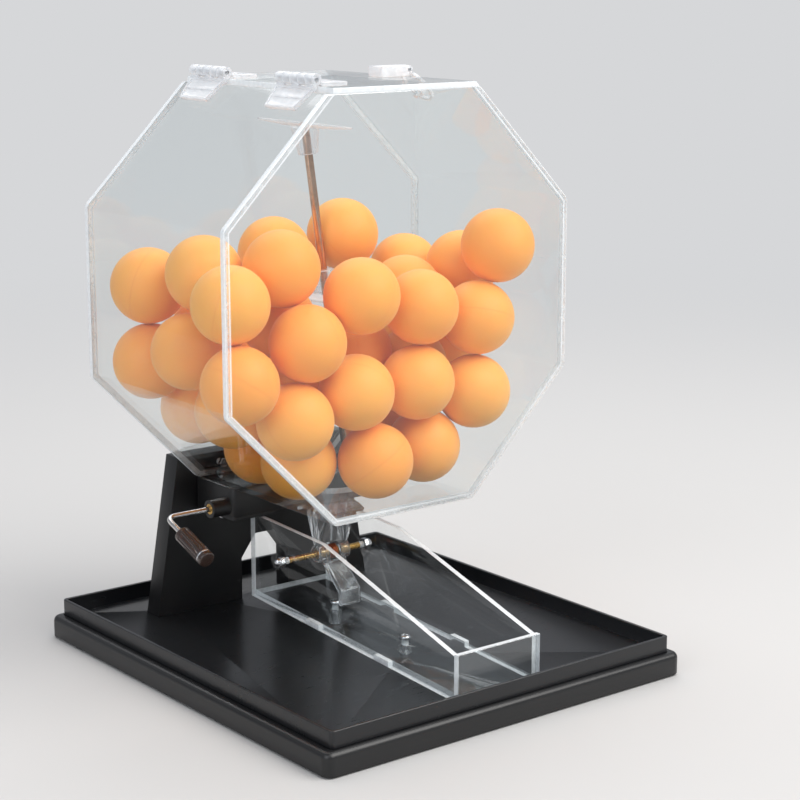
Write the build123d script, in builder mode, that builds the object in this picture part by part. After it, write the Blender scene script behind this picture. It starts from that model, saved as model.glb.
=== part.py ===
from build123d import *

# Tabletop raffle drum: a clear octagonal drum of balls on a black stand and tray. A crank turns a tilted
# agitator through a pair of bevel gears, and a rocking gate lets one ball at a time fall into the chute.
# Millimetres. X to the right, Y to the back, Z up. The origin is the bottom centre of the base.

import os
from math import cos, hypot, pi, radians, sin, tan

import numpy as np

os.makedirs("parts", exist_ok=True)

# ---------------------------------------------------------------- driving dimensions

# base
plinth_width = 232.0
plinth_depth = 262.0
plinth_corner = 5.0
plinth_top = 12.8
plinth_round = 3.3
plinth_wall = 4.0
plinth_deck = 2.5
plinth_rib = 2.0
ground_gap = 1.0
foot_radius = 10.0
foot_height = 3.0
foot_inset = 20.0
tray_width = 221.0
tray_depth = 254.0
tray_corner = 2.5
tray_wall = 2.0
tray_floor_top = 13.0
tray_floor_thickness = 2.5
tray_rim_top = 21.7

# drum
drum_across_flats = 220.0
drum_front = -43.0
drum_depth = 131.0
drum_bottom = 90.0
sheet = 3.0
bend_radius = 4.0
ball_diameter = 40.0
ball_hole_radius = 22.0
ball_hole_x = 3.0
ball_hole_y = 29.0

# stand
stand_depth = 12.0
stand_half_foot = 72.0
stand_half_top = 57.0
stand_overlap = sheet + 9.0
stand_wall = 2.5
arch_half_width = 16.0
arch_height = 24.0
arch_peak = 37.0
arch_peak_half = 6.5

# gear housing, crank and agitator
housing_left = -46.0
housing_front = 50.0
housing_height = 18.0
housing_wall = 2.0
cover_thickness = 2.0
axle_radius = 1.5
axle_boss_left = -57.0
crank_plane_x = -84.0
crank_reach = 42.0
crank_bend_radius = 5.0
crank_droop = 20.0
grip_length = 26.0
grip_radius = 4.5
agitator_y = 57.0
shaft_head_x = 9.0
shaft_head_z = drum_bottom + drum_across_flats - 27.0
shaft_radius = 2.3
journal_radius = 1.5
paddle_radius = 26.0
paddle_tilt = 16.0
lower_paddle_z = shaft_head_z - 95.0
gear_teeth = 12
gear_pitch_radius = 4.1 * housing_height / 18.0
gear_addendum = 0.45
gear_dedendum = 0.65

# chute
chute_width = 54.0
chute_front = -118.0
chute_rear = 62.0
chute_rear_bottom = 23.4
chute_rear_top = 71.5
chute_bend_y = -5.0
chute_bend_top = 68.5
chute_front_top = 38.0
chute_screw_ys = (20.0, -42.0)

# ball gate
gate_rod_y = 30.7
gate_rod_z = 50.7
gate_rod_radius = 1.8
gate_centre_x = 5.0
gate_hub_length = 20.0
gate_hub_radius = 5.0
gate_shoe_radius = 28.0
gate_shoe_thickness = 2.0
gate_shoe_half_angle = 26.0
gate_knee_y = 13.5
gate_knee_z = 32.5
gate_foot_z = 24.3
gate_arm_width = 13.0
spring_wire = 0.9
spring_turns = 5

# lid hinges and latch
hinge_length = 32.0
hinge_centre_ys = (-15.25, 63.5)
barrel_radius = 3.0
hinge_pin_radius = 1.2
knuckles = 5
leaf_thickness = 1.6
latch_y = 16.0
latch_width = 12.0
latch_length = 15.4

# fits
seat_clearance = 0.3
running_clearance = 0.05
press_clearance = 0.02
screw_radius = 1.5
screw_clearance = 0.3
head_radius = 3.0
head_height = 1.8

# ---------------------------------------------------------------- derived places

tray_bottom = tray_floor_top - tray_floor_thickness
deck_bottom = tray_bottom - plinth_deck
drum_back = drum_front + drum_depth
drum_mid_z = drum_bottom + drum_across_flats / 2
drum_top = drum_bottom + drum_across_flats
floor_top = drum_bottom + sheet
lid_bottom = drum_top - sheet
half_side = drum_across_flats / 2 * tan(pi / 8)
lid_hinge_edge = -half_side + seat_clearance
stand_top = drum_bottom + stand_overlap
stand_screw_xs = (-58.0, -28.0, 28.0, 58.0)
stand_screw_y = drum_back + stand_depth / 2
base_screw_places = [(x, stand_screw_y) for x in stand_screw_xs] + [(0.0, y) for y in chute_screw_ys]
drum_screw_x = 30.0
drum_screw_z = floor_top + 3.0
housing_bottom = drum_bottom - housing_height
axle_height = housing_bottom + 7.5 * housing_height / 18.0
shaft_foot_x = round(2 * half_side - 18) / 2
bearing_wall_x = shaft_foot_x - 16.5
housing_right = shaft_foot_x + 11.5
cover_top = housing_bottom + cover_thickness
slope_step = hypot(1, 1)

# The agitator leans in the XZ plane. The gears share an apex where its axis crosses the crank's axle.
shaft_rise = shaft_head_z - drum_bottom
shaft_lean = (shaft_head_x - shaft_foot_x) / shaft_rise
apex = Vector(shaft_foot_x + (axle_height - drum_bottom) * shaft_lean, agitator_y, axle_height)
shaft_dir = Vector(shaft_lean, 0, 1).normalized()
axle_dir = Vector(-1, 0, 0)
gear_cone = radians(shaft_dir.get_angle(axle_dir)) / 2
gear_reach = gear_pitch_radius / tan(gear_cone)
gear_taper = 0.62
gear_hub_length = 2.3
gear_hub_radius = 3.6
shaft_shoulder = (drum_bottom - housing_wall - 0.4 - axle_height) / shaft_dir.Z
shaft_end = (shaft_head_z + 1.5 - axle_height) / shaft_dir.Z


def along_shaft(distance):
    """Point on the agitator's axis, measured from the gear apex."""
    return apex + shaft_dir * distance


def height_on_shaft(z):
    """Distance from the apex at which the agitator's axis reaches a height."""
    return (z - axle_height) / shaft_dir.Z


def slope_plane(side, y):
    """Plane on an upper sloping wall: x runs down the slope, z outwards. side is -1 left, 1 right."""
    return Plane(
        origin=(side * half_side, y, drum_top),
        x_dir=(side / slope_step, 0, -1 / slope_step),
        z_dir=(side / slope_step, 0, 1 / slope_step),
    )


def chute_bottom(y):
    """Height of the chute's lower edge, which falls towards the front."""
    share = (y - chute_front) / (chute_rear - chute_front)
    return tray_floor_top + share * (chute_rear_bottom - tray_floor_top)


# ---------------------------------------------------------------- base

foot_places = GridLocations(plinth_width - 2 * foot_inset, plinth_depth - 2 * foot_inset, 2, 2)
plinth_inner_width = plinth_width - 2 * plinth_wall
plinth_inner_depth = plinth_depth - 2 * plinth_wall

with BuildPart() as plinth:
    with BuildSketch(Plane.XY.offset(ground_gap)):
        RectangleRounded(plinth_width, plinth_depth, plinth_corner)
    extrude(amount=plinth_top - ground_gap)
    fillet(plinth.edges().group_by(Axis.Z)[-1], plinth_round)
    with BuildSketch(Plane.XY.offset(ground_gap)):
        RectangleRounded(plinth_inner_width, plinth_inner_depth, plinth_corner - 1)
    extrude(amount=deck_bottom - ground_gap, mode=Mode.SUBTRACT)
    with BuildSketch(Plane.XY.offset(tray_bottom)):
        RectangleRounded(
            tray_width + 2 * seat_clearance,
            tray_depth + 2 * seat_clearance,
            tray_corner + seat_clearance,
        )
    extrude(amount=plinth_top, mode=Mode.SUBTRACT)
    with BuildSketch(Plane.XY.offset(foot_height)):
        with GridLocations(plinth_width / 4, 0, 3, 1):
            Rectangle(plinth_rib, plinth_inner_depth + 1)
        with GridLocations(0, plinth_depth / 4, 1, 3):
            Rectangle(plinth_inner_width + 1, plinth_rib)
        with foot_places:
            Circle(foot_radius + plinth_rib)
        with Locations(*base_screw_places):
            Circle(head_radius + plinth_rib)
    extrude(amount=deck_bottom - foot_height)
    with BuildSketch(Plane.XY.offset(ground_gap)):
        with Locations(*base_screw_places):
            Circle(head_radius + screw_clearance)
    extrude(amount=deck_bottom - ground_gap, mode=Mode.SUBTRACT)
    with BuildSketch(Plane.XY.offset(ground_gap)):
        with Locations(*base_screw_places):
            Circle(screw_radius + screw_clearance)
    extrude(amount=plinth_top, mode=Mode.SUBTRACT)
plinth.part.label = "plinth"
export_step(plinth.part, "parts/plinth.step")

with BuildPart() as rubber_feet:
    with BuildSketch():
        with foot_places:
            Circle(foot_radius)
    extrude(amount=foot_height)
    chamfer(rubber_feet.edges().group_by(Axis.Z)[0], 0.6)
rubber_feet.part.label = "rubber_feet"
export_step(rubber_feet.part, "parts/rubber_feet.step")

with BuildPart() as tray:
    with BuildSketch(Plane.XY.offset(tray_bottom)):
        RectangleRounded(tray_width, tray_depth, tray_corner)
    extrude(amount=tray_rim_top - tray_bottom)
    with BuildSketch(Plane.XY.offset(tray_floor_top)):
        RectangleRounded(tray_width - 2 * tray_wall, tray_depth - 2 * tray_wall, tray_corner - 1)
    extrude(amount=tray_rim_top, mode=Mode.SUBTRACT)
    fillet(tray.edges().group_by(Axis.Z)[-1], 0.6)
    with BuildSketch(Plane.XY.offset(tray_bottom)):
        with Locations(*base_screw_places):
            Circle(screw_radius + screw_clearance)
    extrude(amount=tray_rim_top, mode=Mode.SUBTRACT)
tray.part.label = "tray"
export_step(tray.part, "parts/tray.step")

# ---------------------------------------------------------------- stand

boss_radius = 4.0
stand_boss_top = tray_floor_top + 16.0
stand_screw_grip = 12.0

with BuildPart() as stand:
    with BuildSketch(Plane.XZ.offset(-drum_back)) as stand_outline:
        with BuildLine():
            Polyline(
                (-stand_half_foot, tray_floor_top),
                (-stand_half_top, stand_top),
                (stand_half_top, stand_top),
                (stand_half_foot, tray_floor_top),
                (arch_half_width, tray_floor_top),
                (arch_half_width, tray_floor_top + arch_height),
                (arch_peak_half, tray_floor_top + arch_peak),
                (-arch_peak_half, tray_floor_top + arch_peak),
                (-arch_half_width, tray_floor_top + arch_height),
                (-arch_half_width, tray_floor_top),
                close=True,
            )
        make_face()
    extrude(amount=-stand_depth)
    with BuildSketch(Plane.XZ.offset(-drum_back - stand_wall)):
        add(stand_outline.sketch_local)
        offset(amount=-stand_wall, kind=Kind.INTERSECTION, mode=Mode.REPLACE)
    extrude(amount=-stand_depth, mode=Mode.SUBTRACT)
    # stiffening ribs inside the shell
    with BuildSketch(Plane.XZ.offset(-drum_back - stand_wall / 2)):
        for side in (-1, 1):
            rib_x = side * ((stand_half_top + arch_half_width) / 2 + 7)
            with Locations((rib_x, (stand_top + tray_floor_top) / 2)):
                Rectangle(plinth_rib, stand_top - tray_floor_top - stand_wall)
        with Locations((0, tray_floor_top + arch_peak + 12)):
            Rectangle(2 * stand_half_top, plinth_rib)
    extrude(amount=-(stand_depth - stand_wall / 2 - 1.5))
    with BuildSketch(Plane.XY.offset(tray_floor_top)):
        with Locations(*base_screw_places[:4]):
            Circle(boss_radius)
    extrude(amount=stand_boss_top - tray_floor_top)
    with BuildSketch(Plane.XY.offset(tray_floor_top)):
        with Locations(*base_screw_places[:4]):
            Circle(screw_radius + press_clearance)
    extrude(amount=stand_screw_grip + 0.5, mode=Mode.SUBTRACT)
    with BuildSketch(Plane.XZ.offset(-drum_back)):
        with Locations((-drum_screw_x, drum_screw_z), (drum_screw_x, drum_screw_z)):
            Circle(screw_radius + screw_clearance)
    extrude(amount=-2 * stand_wall, mode=Mode.SUBTRACT)
stand.part.label = "stand"
export_step(stand.part, "parts/stand.step")

with BuildPart() as stand_screws:
    with BuildSketch(Plane.XY.offset(deck_bottom - head_height)):
        with Locations(*base_screw_places[:4]):
            Circle(head_radius)
    extrude(amount=head_height)
    chamfer(stand_screws.edges().group_by(Axis.Z)[0], 0.6)
    with BuildSketch(Plane.XY.offset(deck_bottom)):
        with Locations(*base_screw_places[:4]):
            Circle(screw_radius)
    extrude(amount=tray_floor_top + stand_screw_grip - deck_bottom)
stand_screws.part.label = "stand_screws"
export_step(stand_screws.part, "parts/stand_screws.step")

# ---------------------------------------------------------------- drum

bush_radius = 6.0
bush_flange_radius = 8.0
bush_flange = 1.5
bush_top = drum_bottom + 7.0
bush_centre_x = shaft_foot_x + 2.5 * shaft_lean
floor_screw_places = ((-36.0, 78.0), (10.0, 78.0))
countersink_radius = 3.0
latch_knob_drop = 13.0
latch_knob_radius = 3.0
knob_shank_radius = 1.5

with BuildPart() as drum_wrap:
    with BuildSketch(Plane.XZ.offset(-(drum_front + sheet))):
        with Locations((0, drum_mid_z)):
            RegularPolygon(drum_across_flats / 2, 8, major_radius=False, rotation=22.5)
    extrude(amount=-(drum_depth - 2 * sheet))
    fillet(drum_wrap.edges().filter_by(Axis.Y), bend_radius)
    with BuildSketch(Plane.XZ.offset(-(drum_front + sheet))):
        with Locations((0, drum_mid_z)):
            RegularPolygon(drum_across_flats / 2 - sheet, 8, major_radius=False, rotation=22.5)
    extrude(amount=-(drum_depth - 2 * sheet), mode=Mode.SUBTRACT)
    with Locations((0, (drum_front + drum_back) / 2, lid_bottom)):
        Box(
            drum_across_flats,
            drum_depth,
            2 * sheet,
            align=(Align.CENTER, Align.CENTER, Align.MIN),
            mode=Mode.SUBTRACT,
        )
    with BuildSketch(Plane.XY.offset(drum_bottom - 1)):
        with Locations((ball_hole_x, ball_hole_y)):
            Circle(ball_hole_radius)
        with Locations((bush_centre_x, agitator_y)):
            Circle(bush_radius + running_clearance)
        with Locations(*floor_screw_places):
            Circle(screw_radius + screw_clearance)
    extrude(amount=2 * sheet, mode=Mode.SUBTRACT)
    with Locations(*[(x, y, floor_top - head_height / 2) for x, y in floor_screw_places]):
        Cone(
            screw_radius + screw_clearance,
            countersink_radius + screw_clearance,
            head_height,
            mode=Mode.SUBTRACT,
        )
    with BuildSketch(slope_plane(1, latch_y).offset(-sheet - 1)):
        with Locations((latch_knob_drop, 0)):
            Circle(knob_shank_radius + running_clearance)
    extrude(amount=2 * sheet, mode=Mode.SUBTRACT)
drum_wrap.part.label = "drum_wrap"
export_step(drum_wrap.part, "parts/drum_wrap.step")


def octagon_panel(front_y):
    """Flat octagonal end panel of the drum, its top edge trimmed under the lid."""
    with BuildPart() as panel:
        with BuildSketch(Plane.XZ.offset(-front_y)):
            with Locations((0, drum_mid_z)):
                RegularPolygon(drum_across_flats / 2, 8, major_radius=False, rotation=22.5)
        extrude(amount=-sheet)
        fillet(panel.edges().filter_by(Axis.Y), bend_radius)
        with Locations((0, front_y + sheet / 2, lid_bottom)):
            Box(
                drum_across_flats,
                2 * sheet,
                2 * sheet,
                align=(Align.CENTER, Align.CENTER, Align.MIN),
                mode=Mode.SUBTRACT,
            )
    return panel.part


with BuildPart() as drum_front_panel:
    add(octagon_panel(drum_front))
    chamfer(drum_front_panel.faces().sort_by(Axis.Y)[0].edges(), 0.4)
drum_front_panel.part.label = "drum_front_panel"
export_step(drum_front_panel.part, "parts/drum_front_panel.step")

with BuildPart() as drum_back_panel:
    add(octagon_panel(drum_back - sheet))
    with BuildSketch(Plane.XZ.offset(-(drum_back - 2 * sheet))):
        with Locations((-drum_screw_x, drum_screw_z), (drum_screw_x, drum_screw_z)):
            Circle(screw_radius + screw_clearance)
    extrude(amount=-3 * sheet, mode=Mode.SUBTRACT)
drum_back_panel.part.label = "drum_back_panel"
export_step(drum_back_panel.part, "parts/drum_back_panel.step")

nut_radius = 2.8
nut_height = 2.4

with BuildPart() as drum_screws:
    with BuildSketch(Plane.XZ.offset(-(drum_back + stand_wall))):
        with Locations((-drum_screw_x, drum_screw_z), (drum_screw_x, drum_screw_z)):
            Circle(head_radius)
    extrude(amount=-head_height)
    chamfer(drum_screws.edges().group_by(Axis.Y)[-1], 0.6)
    with BuildSketch(Plane.XZ.offset(-(drum_back + stand_wall))):
        with Locations((-drum_screw_x, drum_screw_z), (drum_screw_x, drum_screw_z)):
            Circle(screw_radius)
    extrude(amount=stand_wall + sheet + nut_height)
drum_screws.part.label = "drum_screws"
export_step(drum_screws.part, "parts/drum_screws.step")

with BuildPart() as drum_nuts:
    with BuildSketch(Plane.XZ.offset(-(drum_back - sheet))):
        with Locations((-drum_screw_x, drum_screw_z), (drum_screw_x, drum_screw_z)):
            RegularPolygon(nut_radius, 6)
            Circle(screw_radius + press_clearance, mode=Mode.SUBTRACT)
    extrude(amount=nut_height)
drum_nuts.part.label = "drum_nuts"
export_step(drum_nuts.part, "parts/drum_nuts.step")

# ---------------------------------------------------------------- gear housing

bearing_wall = 4.0
bush_outer = 3.0
axle_boss_radius = 5.0
cover_screw_places = ((-42.0, 66.0), (-42.0, 82.0), (43.0, 82.0), (-10.0, 82.0))
cover_screw_depth = 8.0

with BuildPart() as gear_housing:
    with BuildSketch(Plane.XY.offset(cover_top)):
        with Locations(((housing_left + housing_right) / 2, (housing_front + drum_back) / 2)):
            Rectangle(housing_right - housing_left, drum_back - housing_front)
    extrude(amount=drum_bottom - cover_top)
    fillet(gear_housing.edges().filter_by(Axis.Z), 3.0)
    with BuildSketch(Plane.XY.offset(cover_top)):
        with Locations(((housing_left + housing_right) / 2, (housing_front + drum_back) / 2)):
            RectangleRounded(
                housing_right - housing_left - 2 * housing_wall,
                drum_back - housing_front - 2 * housing_wall,
                1.5,
            )
    extrude(amount=drum_bottom - housing_wall - cover_top, mode=Mode.SUBTRACT)
    with Locations((bearing_wall_x + bearing_wall / 2, (housing_front + drum_back) / 2, cover_top)):
        Box(
            bearing_wall,
            drum_back - housing_front - housing_wall,
            drum_bottom - housing_wall / 2 - cover_top,
            align=(Align.CENTER, Align.CENTER, Align.MIN),
        )
    with BuildSketch(Plane.XY.offset(cover_top)):
        with Locations(*cover_screw_places, *floor_screw_places):
            Circle(3.2)
    extrude(amount=drum_bottom - housing_wall / 2 - cover_top)
    with BuildSketch(Plane.YZ.offset(axle_boss_left)):
        with Locations((agitator_y, axle_height)):
            Circle(axle_boss_radius)
    extrude(amount=housing_left + housing_wall - axle_boss_left)
    with BuildSketch(Plane.YZ.offset(axle_boss_left - 1)):
        with Locations((agitator_y, axle_height)):
            Circle(bush_outer + press_clearance)
    extrude(amount=bearing_wall_x + bearing_wall - axle_boss_left + 1, mode=Mode.SUBTRACT)
    with BuildSketch(Plane.XY.offset(drum_bottom - 2 * housing_wall)):
        with Locations((bush_centre_x, agitator_y)):
            Circle(bush_radius + running_clearance)
    extrude(amount=3 * housing_wall, mode=Mode.SUBTRACT)
    with BuildSketch(Plane.XY.offset(cover_top)):
        with Locations(*cover_screw_places):
            Circle(screw_radius + press_clearance)
    extrude(amount=cover_screw_depth, mode=Mode.SUBTRACT)
    with BuildSketch(Plane.XY.offset(drum_bottom)):
        with Locations(*floor_screw_places):
            Circle(screw_radius + press_clearance)
    extrude(amount=-cover_screw_depth, mode=Mode.SUBTRACT)
gear_housing.part.label = "gear_housing"
export_step(gear_housing.part, "parts/gear_housing.step")

with BuildPart() as gear_cover:
    with BuildSketch(Plane.XY.offset(housing_bottom)):
        with Locations(((housing_left + housing_right) / 2, (housing_front + drum_back) / 2)):
            RectangleRounded(housing_right - housing_left, drum_back - housing_front, 3)
        with Locations(*cover_screw_places):
            Circle(screw_radius + screw_clearance, mode=Mode.SUBTRACT)
    extrude(amount=cover_thickness)
gear_cover.part.label = "gear_cover"
export_step(gear_cover.part, "parts/gear_cover.step")

with BuildPart() as cover_screws:
    with BuildSketch(Plane.XY.offset(housing_bottom)):
        with Locations(*cover_screw_places):
            Circle(screw_radius)
    extrude(amount=cover_thickness + cover_screw_depth - 1)
    with BuildSketch(Plane.XY.offset(housing_bottom)):
        with Locations(*cover_screw_places):
            Circle(head_radius)
    extrude(amount=-head_height)
    chamfer(cover_screws.edges().group_by(Axis.Z)[0], 0.6)
cover_screws.part.label = "cover_screws"
export_step(cover_screws.part, "parts/cover_screws.step")

with BuildPart() as floor_screws:
    with BuildSketch(Plane.XY.offset(floor_top)):
        with Locations(*floor_screw_places):
            Circle(screw_radius)
    extrude(amount=-(sheet + cover_screw_depth - 1))
    with Locations(*[(x, y, floor_top - head_height / 2) for x, y in floor_screw_places]):
        Cone(screw_radius, countersink_radius, head_height)
floor_screws.part.label = "floor_screws"
export_step(floor_screws.part, "parts/floor_screws.step")

with BuildPart() as axle_bushes:
    for left, length in ((axle_boss_left, 10.0), (bearing_wall_x, bearing_wall)):
        with BuildSketch(Plane.YZ.offset(left)):
            with Locations((agitator_y, axle_height)):
                Circle(bush_outer)
                Circle(axle_radius + running_clearance, mode=Mode.SUBTRACT)
        extrude(amount=length)
axle_bushes.part.label = "axle_bushes"
export_step(axle_bushes.part, "parts/axle_bushes.step")

with BuildPart() as shaft_bush:
    with BuildSketch(Plane.XY.offset(drum_bottom - housing_wall)):
        with Locations((bush_centre_x, agitator_y)):
            Circle(bush_radius)
    extrude(amount=bush_top - drum_bottom + housing_wall)
    with BuildSketch(Plane.XY.offset(floor_top)):
        with Locations((bush_centre_x, agitator_y)):
            Circle(bush_flange_radius)
    extrude(amount=bush_flange)
    chamfer(shaft_bush.edges().group_by(Axis.Z)[-1], 0.8)
    with BuildSketch(Plane(origin=apex, z_dir=shaft_dir)):
        Circle(shaft_radius + running_clearance)
    extrude(amount=2 * (bush_top - axle_height), mode=Mode.SUBTRACT)
shaft_bush.part.label = "shaft_bush"
export_step(shaft_bush.part, "parts/shaft_bush.step")

# ---------------------------------------------------------------- crank, gears and agitator


def gear_outline(scale, phase):
    """Corners of a bevel gear's section: straight-flanked teeth, narrower at the tip than at the root."""
    pitch = 360 / gear_teeth
    root = gear_pitch_radius - gear_dedendum
    tip = gear_pitch_radius + gear_addendum
    corners = []
    for tooth in range(gear_teeth):
        middle = tooth * pitch + phase
        for radius, turn in ((root, -0.30), (tip, -0.13), (tip, 0.13), (root, 0.30)):
            angle = radians(middle + turn * pitch)
            corners.append((scale * radius * cos(angle), scale * radius * sin(angle)))
    return corners


def bevel_gear(axis, towards, phase, bore):
    """Bevel gear on an axis through the shared apex, its local x turned towards its mate."""
    with BuildPart() as gear:
        for share in (1.0, gear_taper):
            with BuildSketch(Plane(origin=apex + axis * gear_reach * share, x_dir=towards, z_dir=axis)):
                Polygon(*gear_outline(share, phase), align=None)
        loft(ruled=True)
        with BuildSketch(Plane(origin=apex + axis * gear_reach, x_dir=towards, z_dir=axis)):
            Circle(gear_hub_radius)
        extrude(amount=gear_hub_length)
        with BuildSketch(Plane(origin=apex, x_dir=towards, z_dir=axis)):
            Circle(bore)
        extrude(amount=gear_reach + 2 * gear_hub_length, mode=Mode.SUBTRACT)
    return gear.part


shaft_side = (axle_dir - shaft_dir * axle_dir.dot(shaft_dir)).normalized()

with BuildPart() as crank_gear:
    add(bevel_gear(axle_dir, (0, 0, 1), 0, axle_radius + press_clearance))
crank_gear.part.label = "crank_gear"
export_step(crank_gear.part, "parts/crank_gear.step")

with BuildPart() as shaft_gear:
    add(bevel_gear(shaft_dir, shaft_side, 180 / gear_teeth, journal_radius + press_clearance))
shaft_gear.part.label = "shaft_gear"
export_step(shaft_gear.part, "parts/shaft_gear.step")

axle_end_x = apex.X - gear_reach * gear_taper
arm_dir = Vector(0, -cos(radians(crank_droop)), -sin(radians(crank_droop)))
crank_corner = Vector(crank_plane_x, agitator_y, axle_height)
arm_tip = crank_corner + arm_dir * (crank_reach - 2.5)

with BuildPart() as crank_rod:
    with BuildLine() as rod_line:
        FilletPolyline((axle_end_x, agitator_y, axle_height), crank_corner, arm_tip, radius=crank_bend_radius)
    with BuildSketch(Plane(origin=(axle_end_x, agitator_y, axle_height), z_dir=axle_dir)):
        Circle(axle_radius)
    sweep(path=rod_line.wires()[0])
crank_rod.part.label = "crank_rod"
export_step(crank_rod.part, "parts/crank_rod.step")

grip_start = crank_corner + arm_dir * (crank_reach - grip_length)
grip_flutes = 10

with BuildPart() as crank_grip:
    with BuildSketch(Plane(origin=grip_start, x_dir=(1, 0, 0), z_dir=arm_dir)):
        Circle(grip_radius)
    extrude(amount=grip_length)
    fillet(crank_grip.edges().filter_by(GeomType.CIRCLE), 1.1)
    with BuildSketch(Plane(origin=grip_start, x_dir=(1, 0, 0), z_dir=arm_dir).offset(3)):
        with PolarLocations(grip_radius + 0.5, grip_flutes):
            Circle(0.9)
    extrude(amount=grip_length - 7, mode=Mode.SUBTRACT)
    with BuildSketch(Plane(origin=grip_start, x_dir=(1, 0, 0), z_dir=arm_dir)):
        Circle(axle_radius + press_clearance)
    extrude(amount=grip_length - 2, mode=Mode.SUBTRACT)
crank_grip.part.label = "crank_grip"
export_step(crank_grip.part, "parts/crank_grip.step")

with BuildPart() as agitator_shaft:
    with BuildSketch(Plane(origin=along_shaft(gear_reach * gear_taper + 0.3), z_dir=shaft_dir)):
        Circle(journal_radius)
    extrude(amount=shaft_shoulder - gear_reach * gear_taper)
    with BuildSketch(Plane(origin=along_shaft(shaft_shoulder), z_dir=shaft_dir)):
        Circle(shaft_radius)
    extrude(amount=shaft_end - shaft_shoulder)
agitator_shaft.part.label = "agitator_shaft"
export_step(agitator_shaft.part, "parts/agitator_shaft.step")

hub_wide_radius = 7.9
hub_narrow_radius = 5.5
hub_length = 15.4
disc_thickness = 2.5
disc_rim = 1.2
disc_dish = 1.6


def paddle(distance, hub_side):
    """Dished disc on a conical hub. hub_side is 1 for a hub above the disc and -1 for one below."""
    tilt = Plane(origin=along_shaft(distance), x_dir=(0, 1, 0), z_dir=shaft_dir.rotate(Axis.Y, paddle_tilt))
    profile = Plane(origin=tilt.origin, x_dir=tilt.x_dir, z_dir=tilt.z_dir.cross(tilt.x_dir))
    top = disc_thickness / 2
    with BuildPart() as blade:
        with BuildSketch(profile):
            with BuildLine():
                Polyline(
                    (0, -top * hub_side),
                    (paddle_radius * 0.45, (-top + 0.15) * hub_side),
                    (paddle_radius - disc_rim / 2, (-top + disc_dish) * hub_side),
                    (paddle_radius, (-top + disc_dish + disc_rim / 2) * hub_side),
                    (paddle_radius - disc_rim / 2, (-top + disc_dish + disc_rim) * hub_side),
                    (paddle_radius * 0.45, (top + 0.15) * hub_side),
                    (0, top * hub_side),
                    close=True,
                )
            make_face()
        revolve(axis=Axis(tilt.origin, tilt.z_dir))
        with BuildSketch(Plane(origin=along_shaft(distance), z_dir=shaft_dir * hub_side)):
            Circle(hub_wide_radius)
        hub_end = along_shaft(distance + hub_side * hub_length)
        with BuildSketch(Plane(origin=hub_end, z_dir=shaft_dir * hub_side)):
            Circle(hub_narrow_radius)
        loft(ruled=True)
        with BuildSketch(Plane(origin=along_shaft(distance - 2 * hub_length), z_dir=shaft_dir)):
            Circle(shaft_radius + press_clearance)
        extrude(amount=4 * hub_length, mode=Mode.SUBTRACT)
    return blade.part


with BuildPart() as upper_paddle:
    add(paddle(height_on_shaft(shaft_head_z), -1))
upper_paddle.part.label = "upper_paddle"
export_step(upper_paddle.part, "parts/upper_paddle.step")

with BuildPart() as lower_paddle:
    add(paddle(height_on_shaft(lower_paddle_z), 1))
lower_paddle.part.label = "lower_paddle"
export_step(lower_paddle.part, "parts/lower_paddle.step")

# ---------------------------------------------------------------- lid, hinges and latch

lid_latch_edge = half_side + sheet - seat_clearance

with BuildPart() as lid:
    with BuildSketch(Plane.XZ.offset(-drum_front)):
        with BuildLine():
            Polyline(
                (lid_hinge_edge, lid_bottom),
                (lid_hinge_edge, drum_top),
                (lid_latch_edge - sheet, drum_top),
                (lid_latch_edge, lid_bottom),
                close=True,
            )
        make_face()
    extrude(amount=-drum_depth)
lid.part.label = "lid"
export_step(lid.part, "parts/lid.step")

barrel_x = -half_side - 1.04
barrel_z = drum_top + 3.4
knuckle_gap = 0.3
knuckle_length = (hinge_length - (knuckles - 1) * knuckle_gap) / knuckles
fixed_leaf_width = 14.0
fixed_leaf_end = 25.0
lid_leaf_width = 15.0
leaf_border = 1.4
leaf_border_height = 0.5
leaf_margin = 2.0
lid_leaf_start = round(-half_side + 2.5)


def knuckle_places(first):
    """Front ends of the knuckles that belong to one leaf, counted along the barrel."""
    step = knuckle_length + knuckle_gap
    return [-hinge_length / 2 + index * step for index in range(first, knuckles, 2)]


def slope_point(down, out):
    """XZ point of the left upper wall, down the slope from the corner and out from the surface."""
    return (-half_side - (down + out) / slope_step, drum_top + (out - down) / slope_step)


def fixed_leaf(centre_y):
    """Leaf glued to the left upper wall: a tapering plate with a raised border and three knuckles."""
    plate = slope_plane(-1, centre_y)
    with BuildPart() as leaf:
        with BuildSketch(plate) as outline:
            with BuildLine():
                Polyline(
                    (leaf_margin, -hinge_length / 2),
                    (leaf_margin + fixed_leaf_width, -fixed_leaf_end / 2),
                    (leaf_margin + fixed_leaf_width, fixed_leaf_end / 2),
                    (leaf_margin, hinge_length / 2),
                    close=True,
                )
            make_face()
        extrude(amount=leaf_thickness)
        with BuildSketch(plate.offset(leaf_thickness)):
            add(outline.sketch_local)
            offset(amount=-leaf_border, mode=Mode.SUBTRACT)
            with Locations((leaf_margin + fixed_leaf_width / 2, 0)):
                Rectangle(leaf_border, fixed_leaf_end)
        extrude(amount=leaf_border_height)
        for front in knuckle_places(0):
            with BuildSketch(Plane.XZ.offset(-(centre_y + front))):
                with BuildLine():
                    Polyline(
                        slope_point(1.2, 0.05),
                        slope_point(4, 0.05),
                        slope_point(4, leaf_thickness),
                        (barrel_x, barrel_z),
                        close=True,
                    )
                make_face()
                with Locations((barrel_x, barrel_z)):
                    Circle(barrel_radius)
            extrude(amount=-knuckle_length)
        with BuildSketch(Plane.XZ.offset(-(centre_y - hinge_length))):
            with Locations((barrel_x, barrel_z)):
                Circle(hinge_pin_radius + running_clearance)
        extrude(amount=-2 * hinge_length, mode=Mode.SUBTRACT)
    return leaf.part


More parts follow.
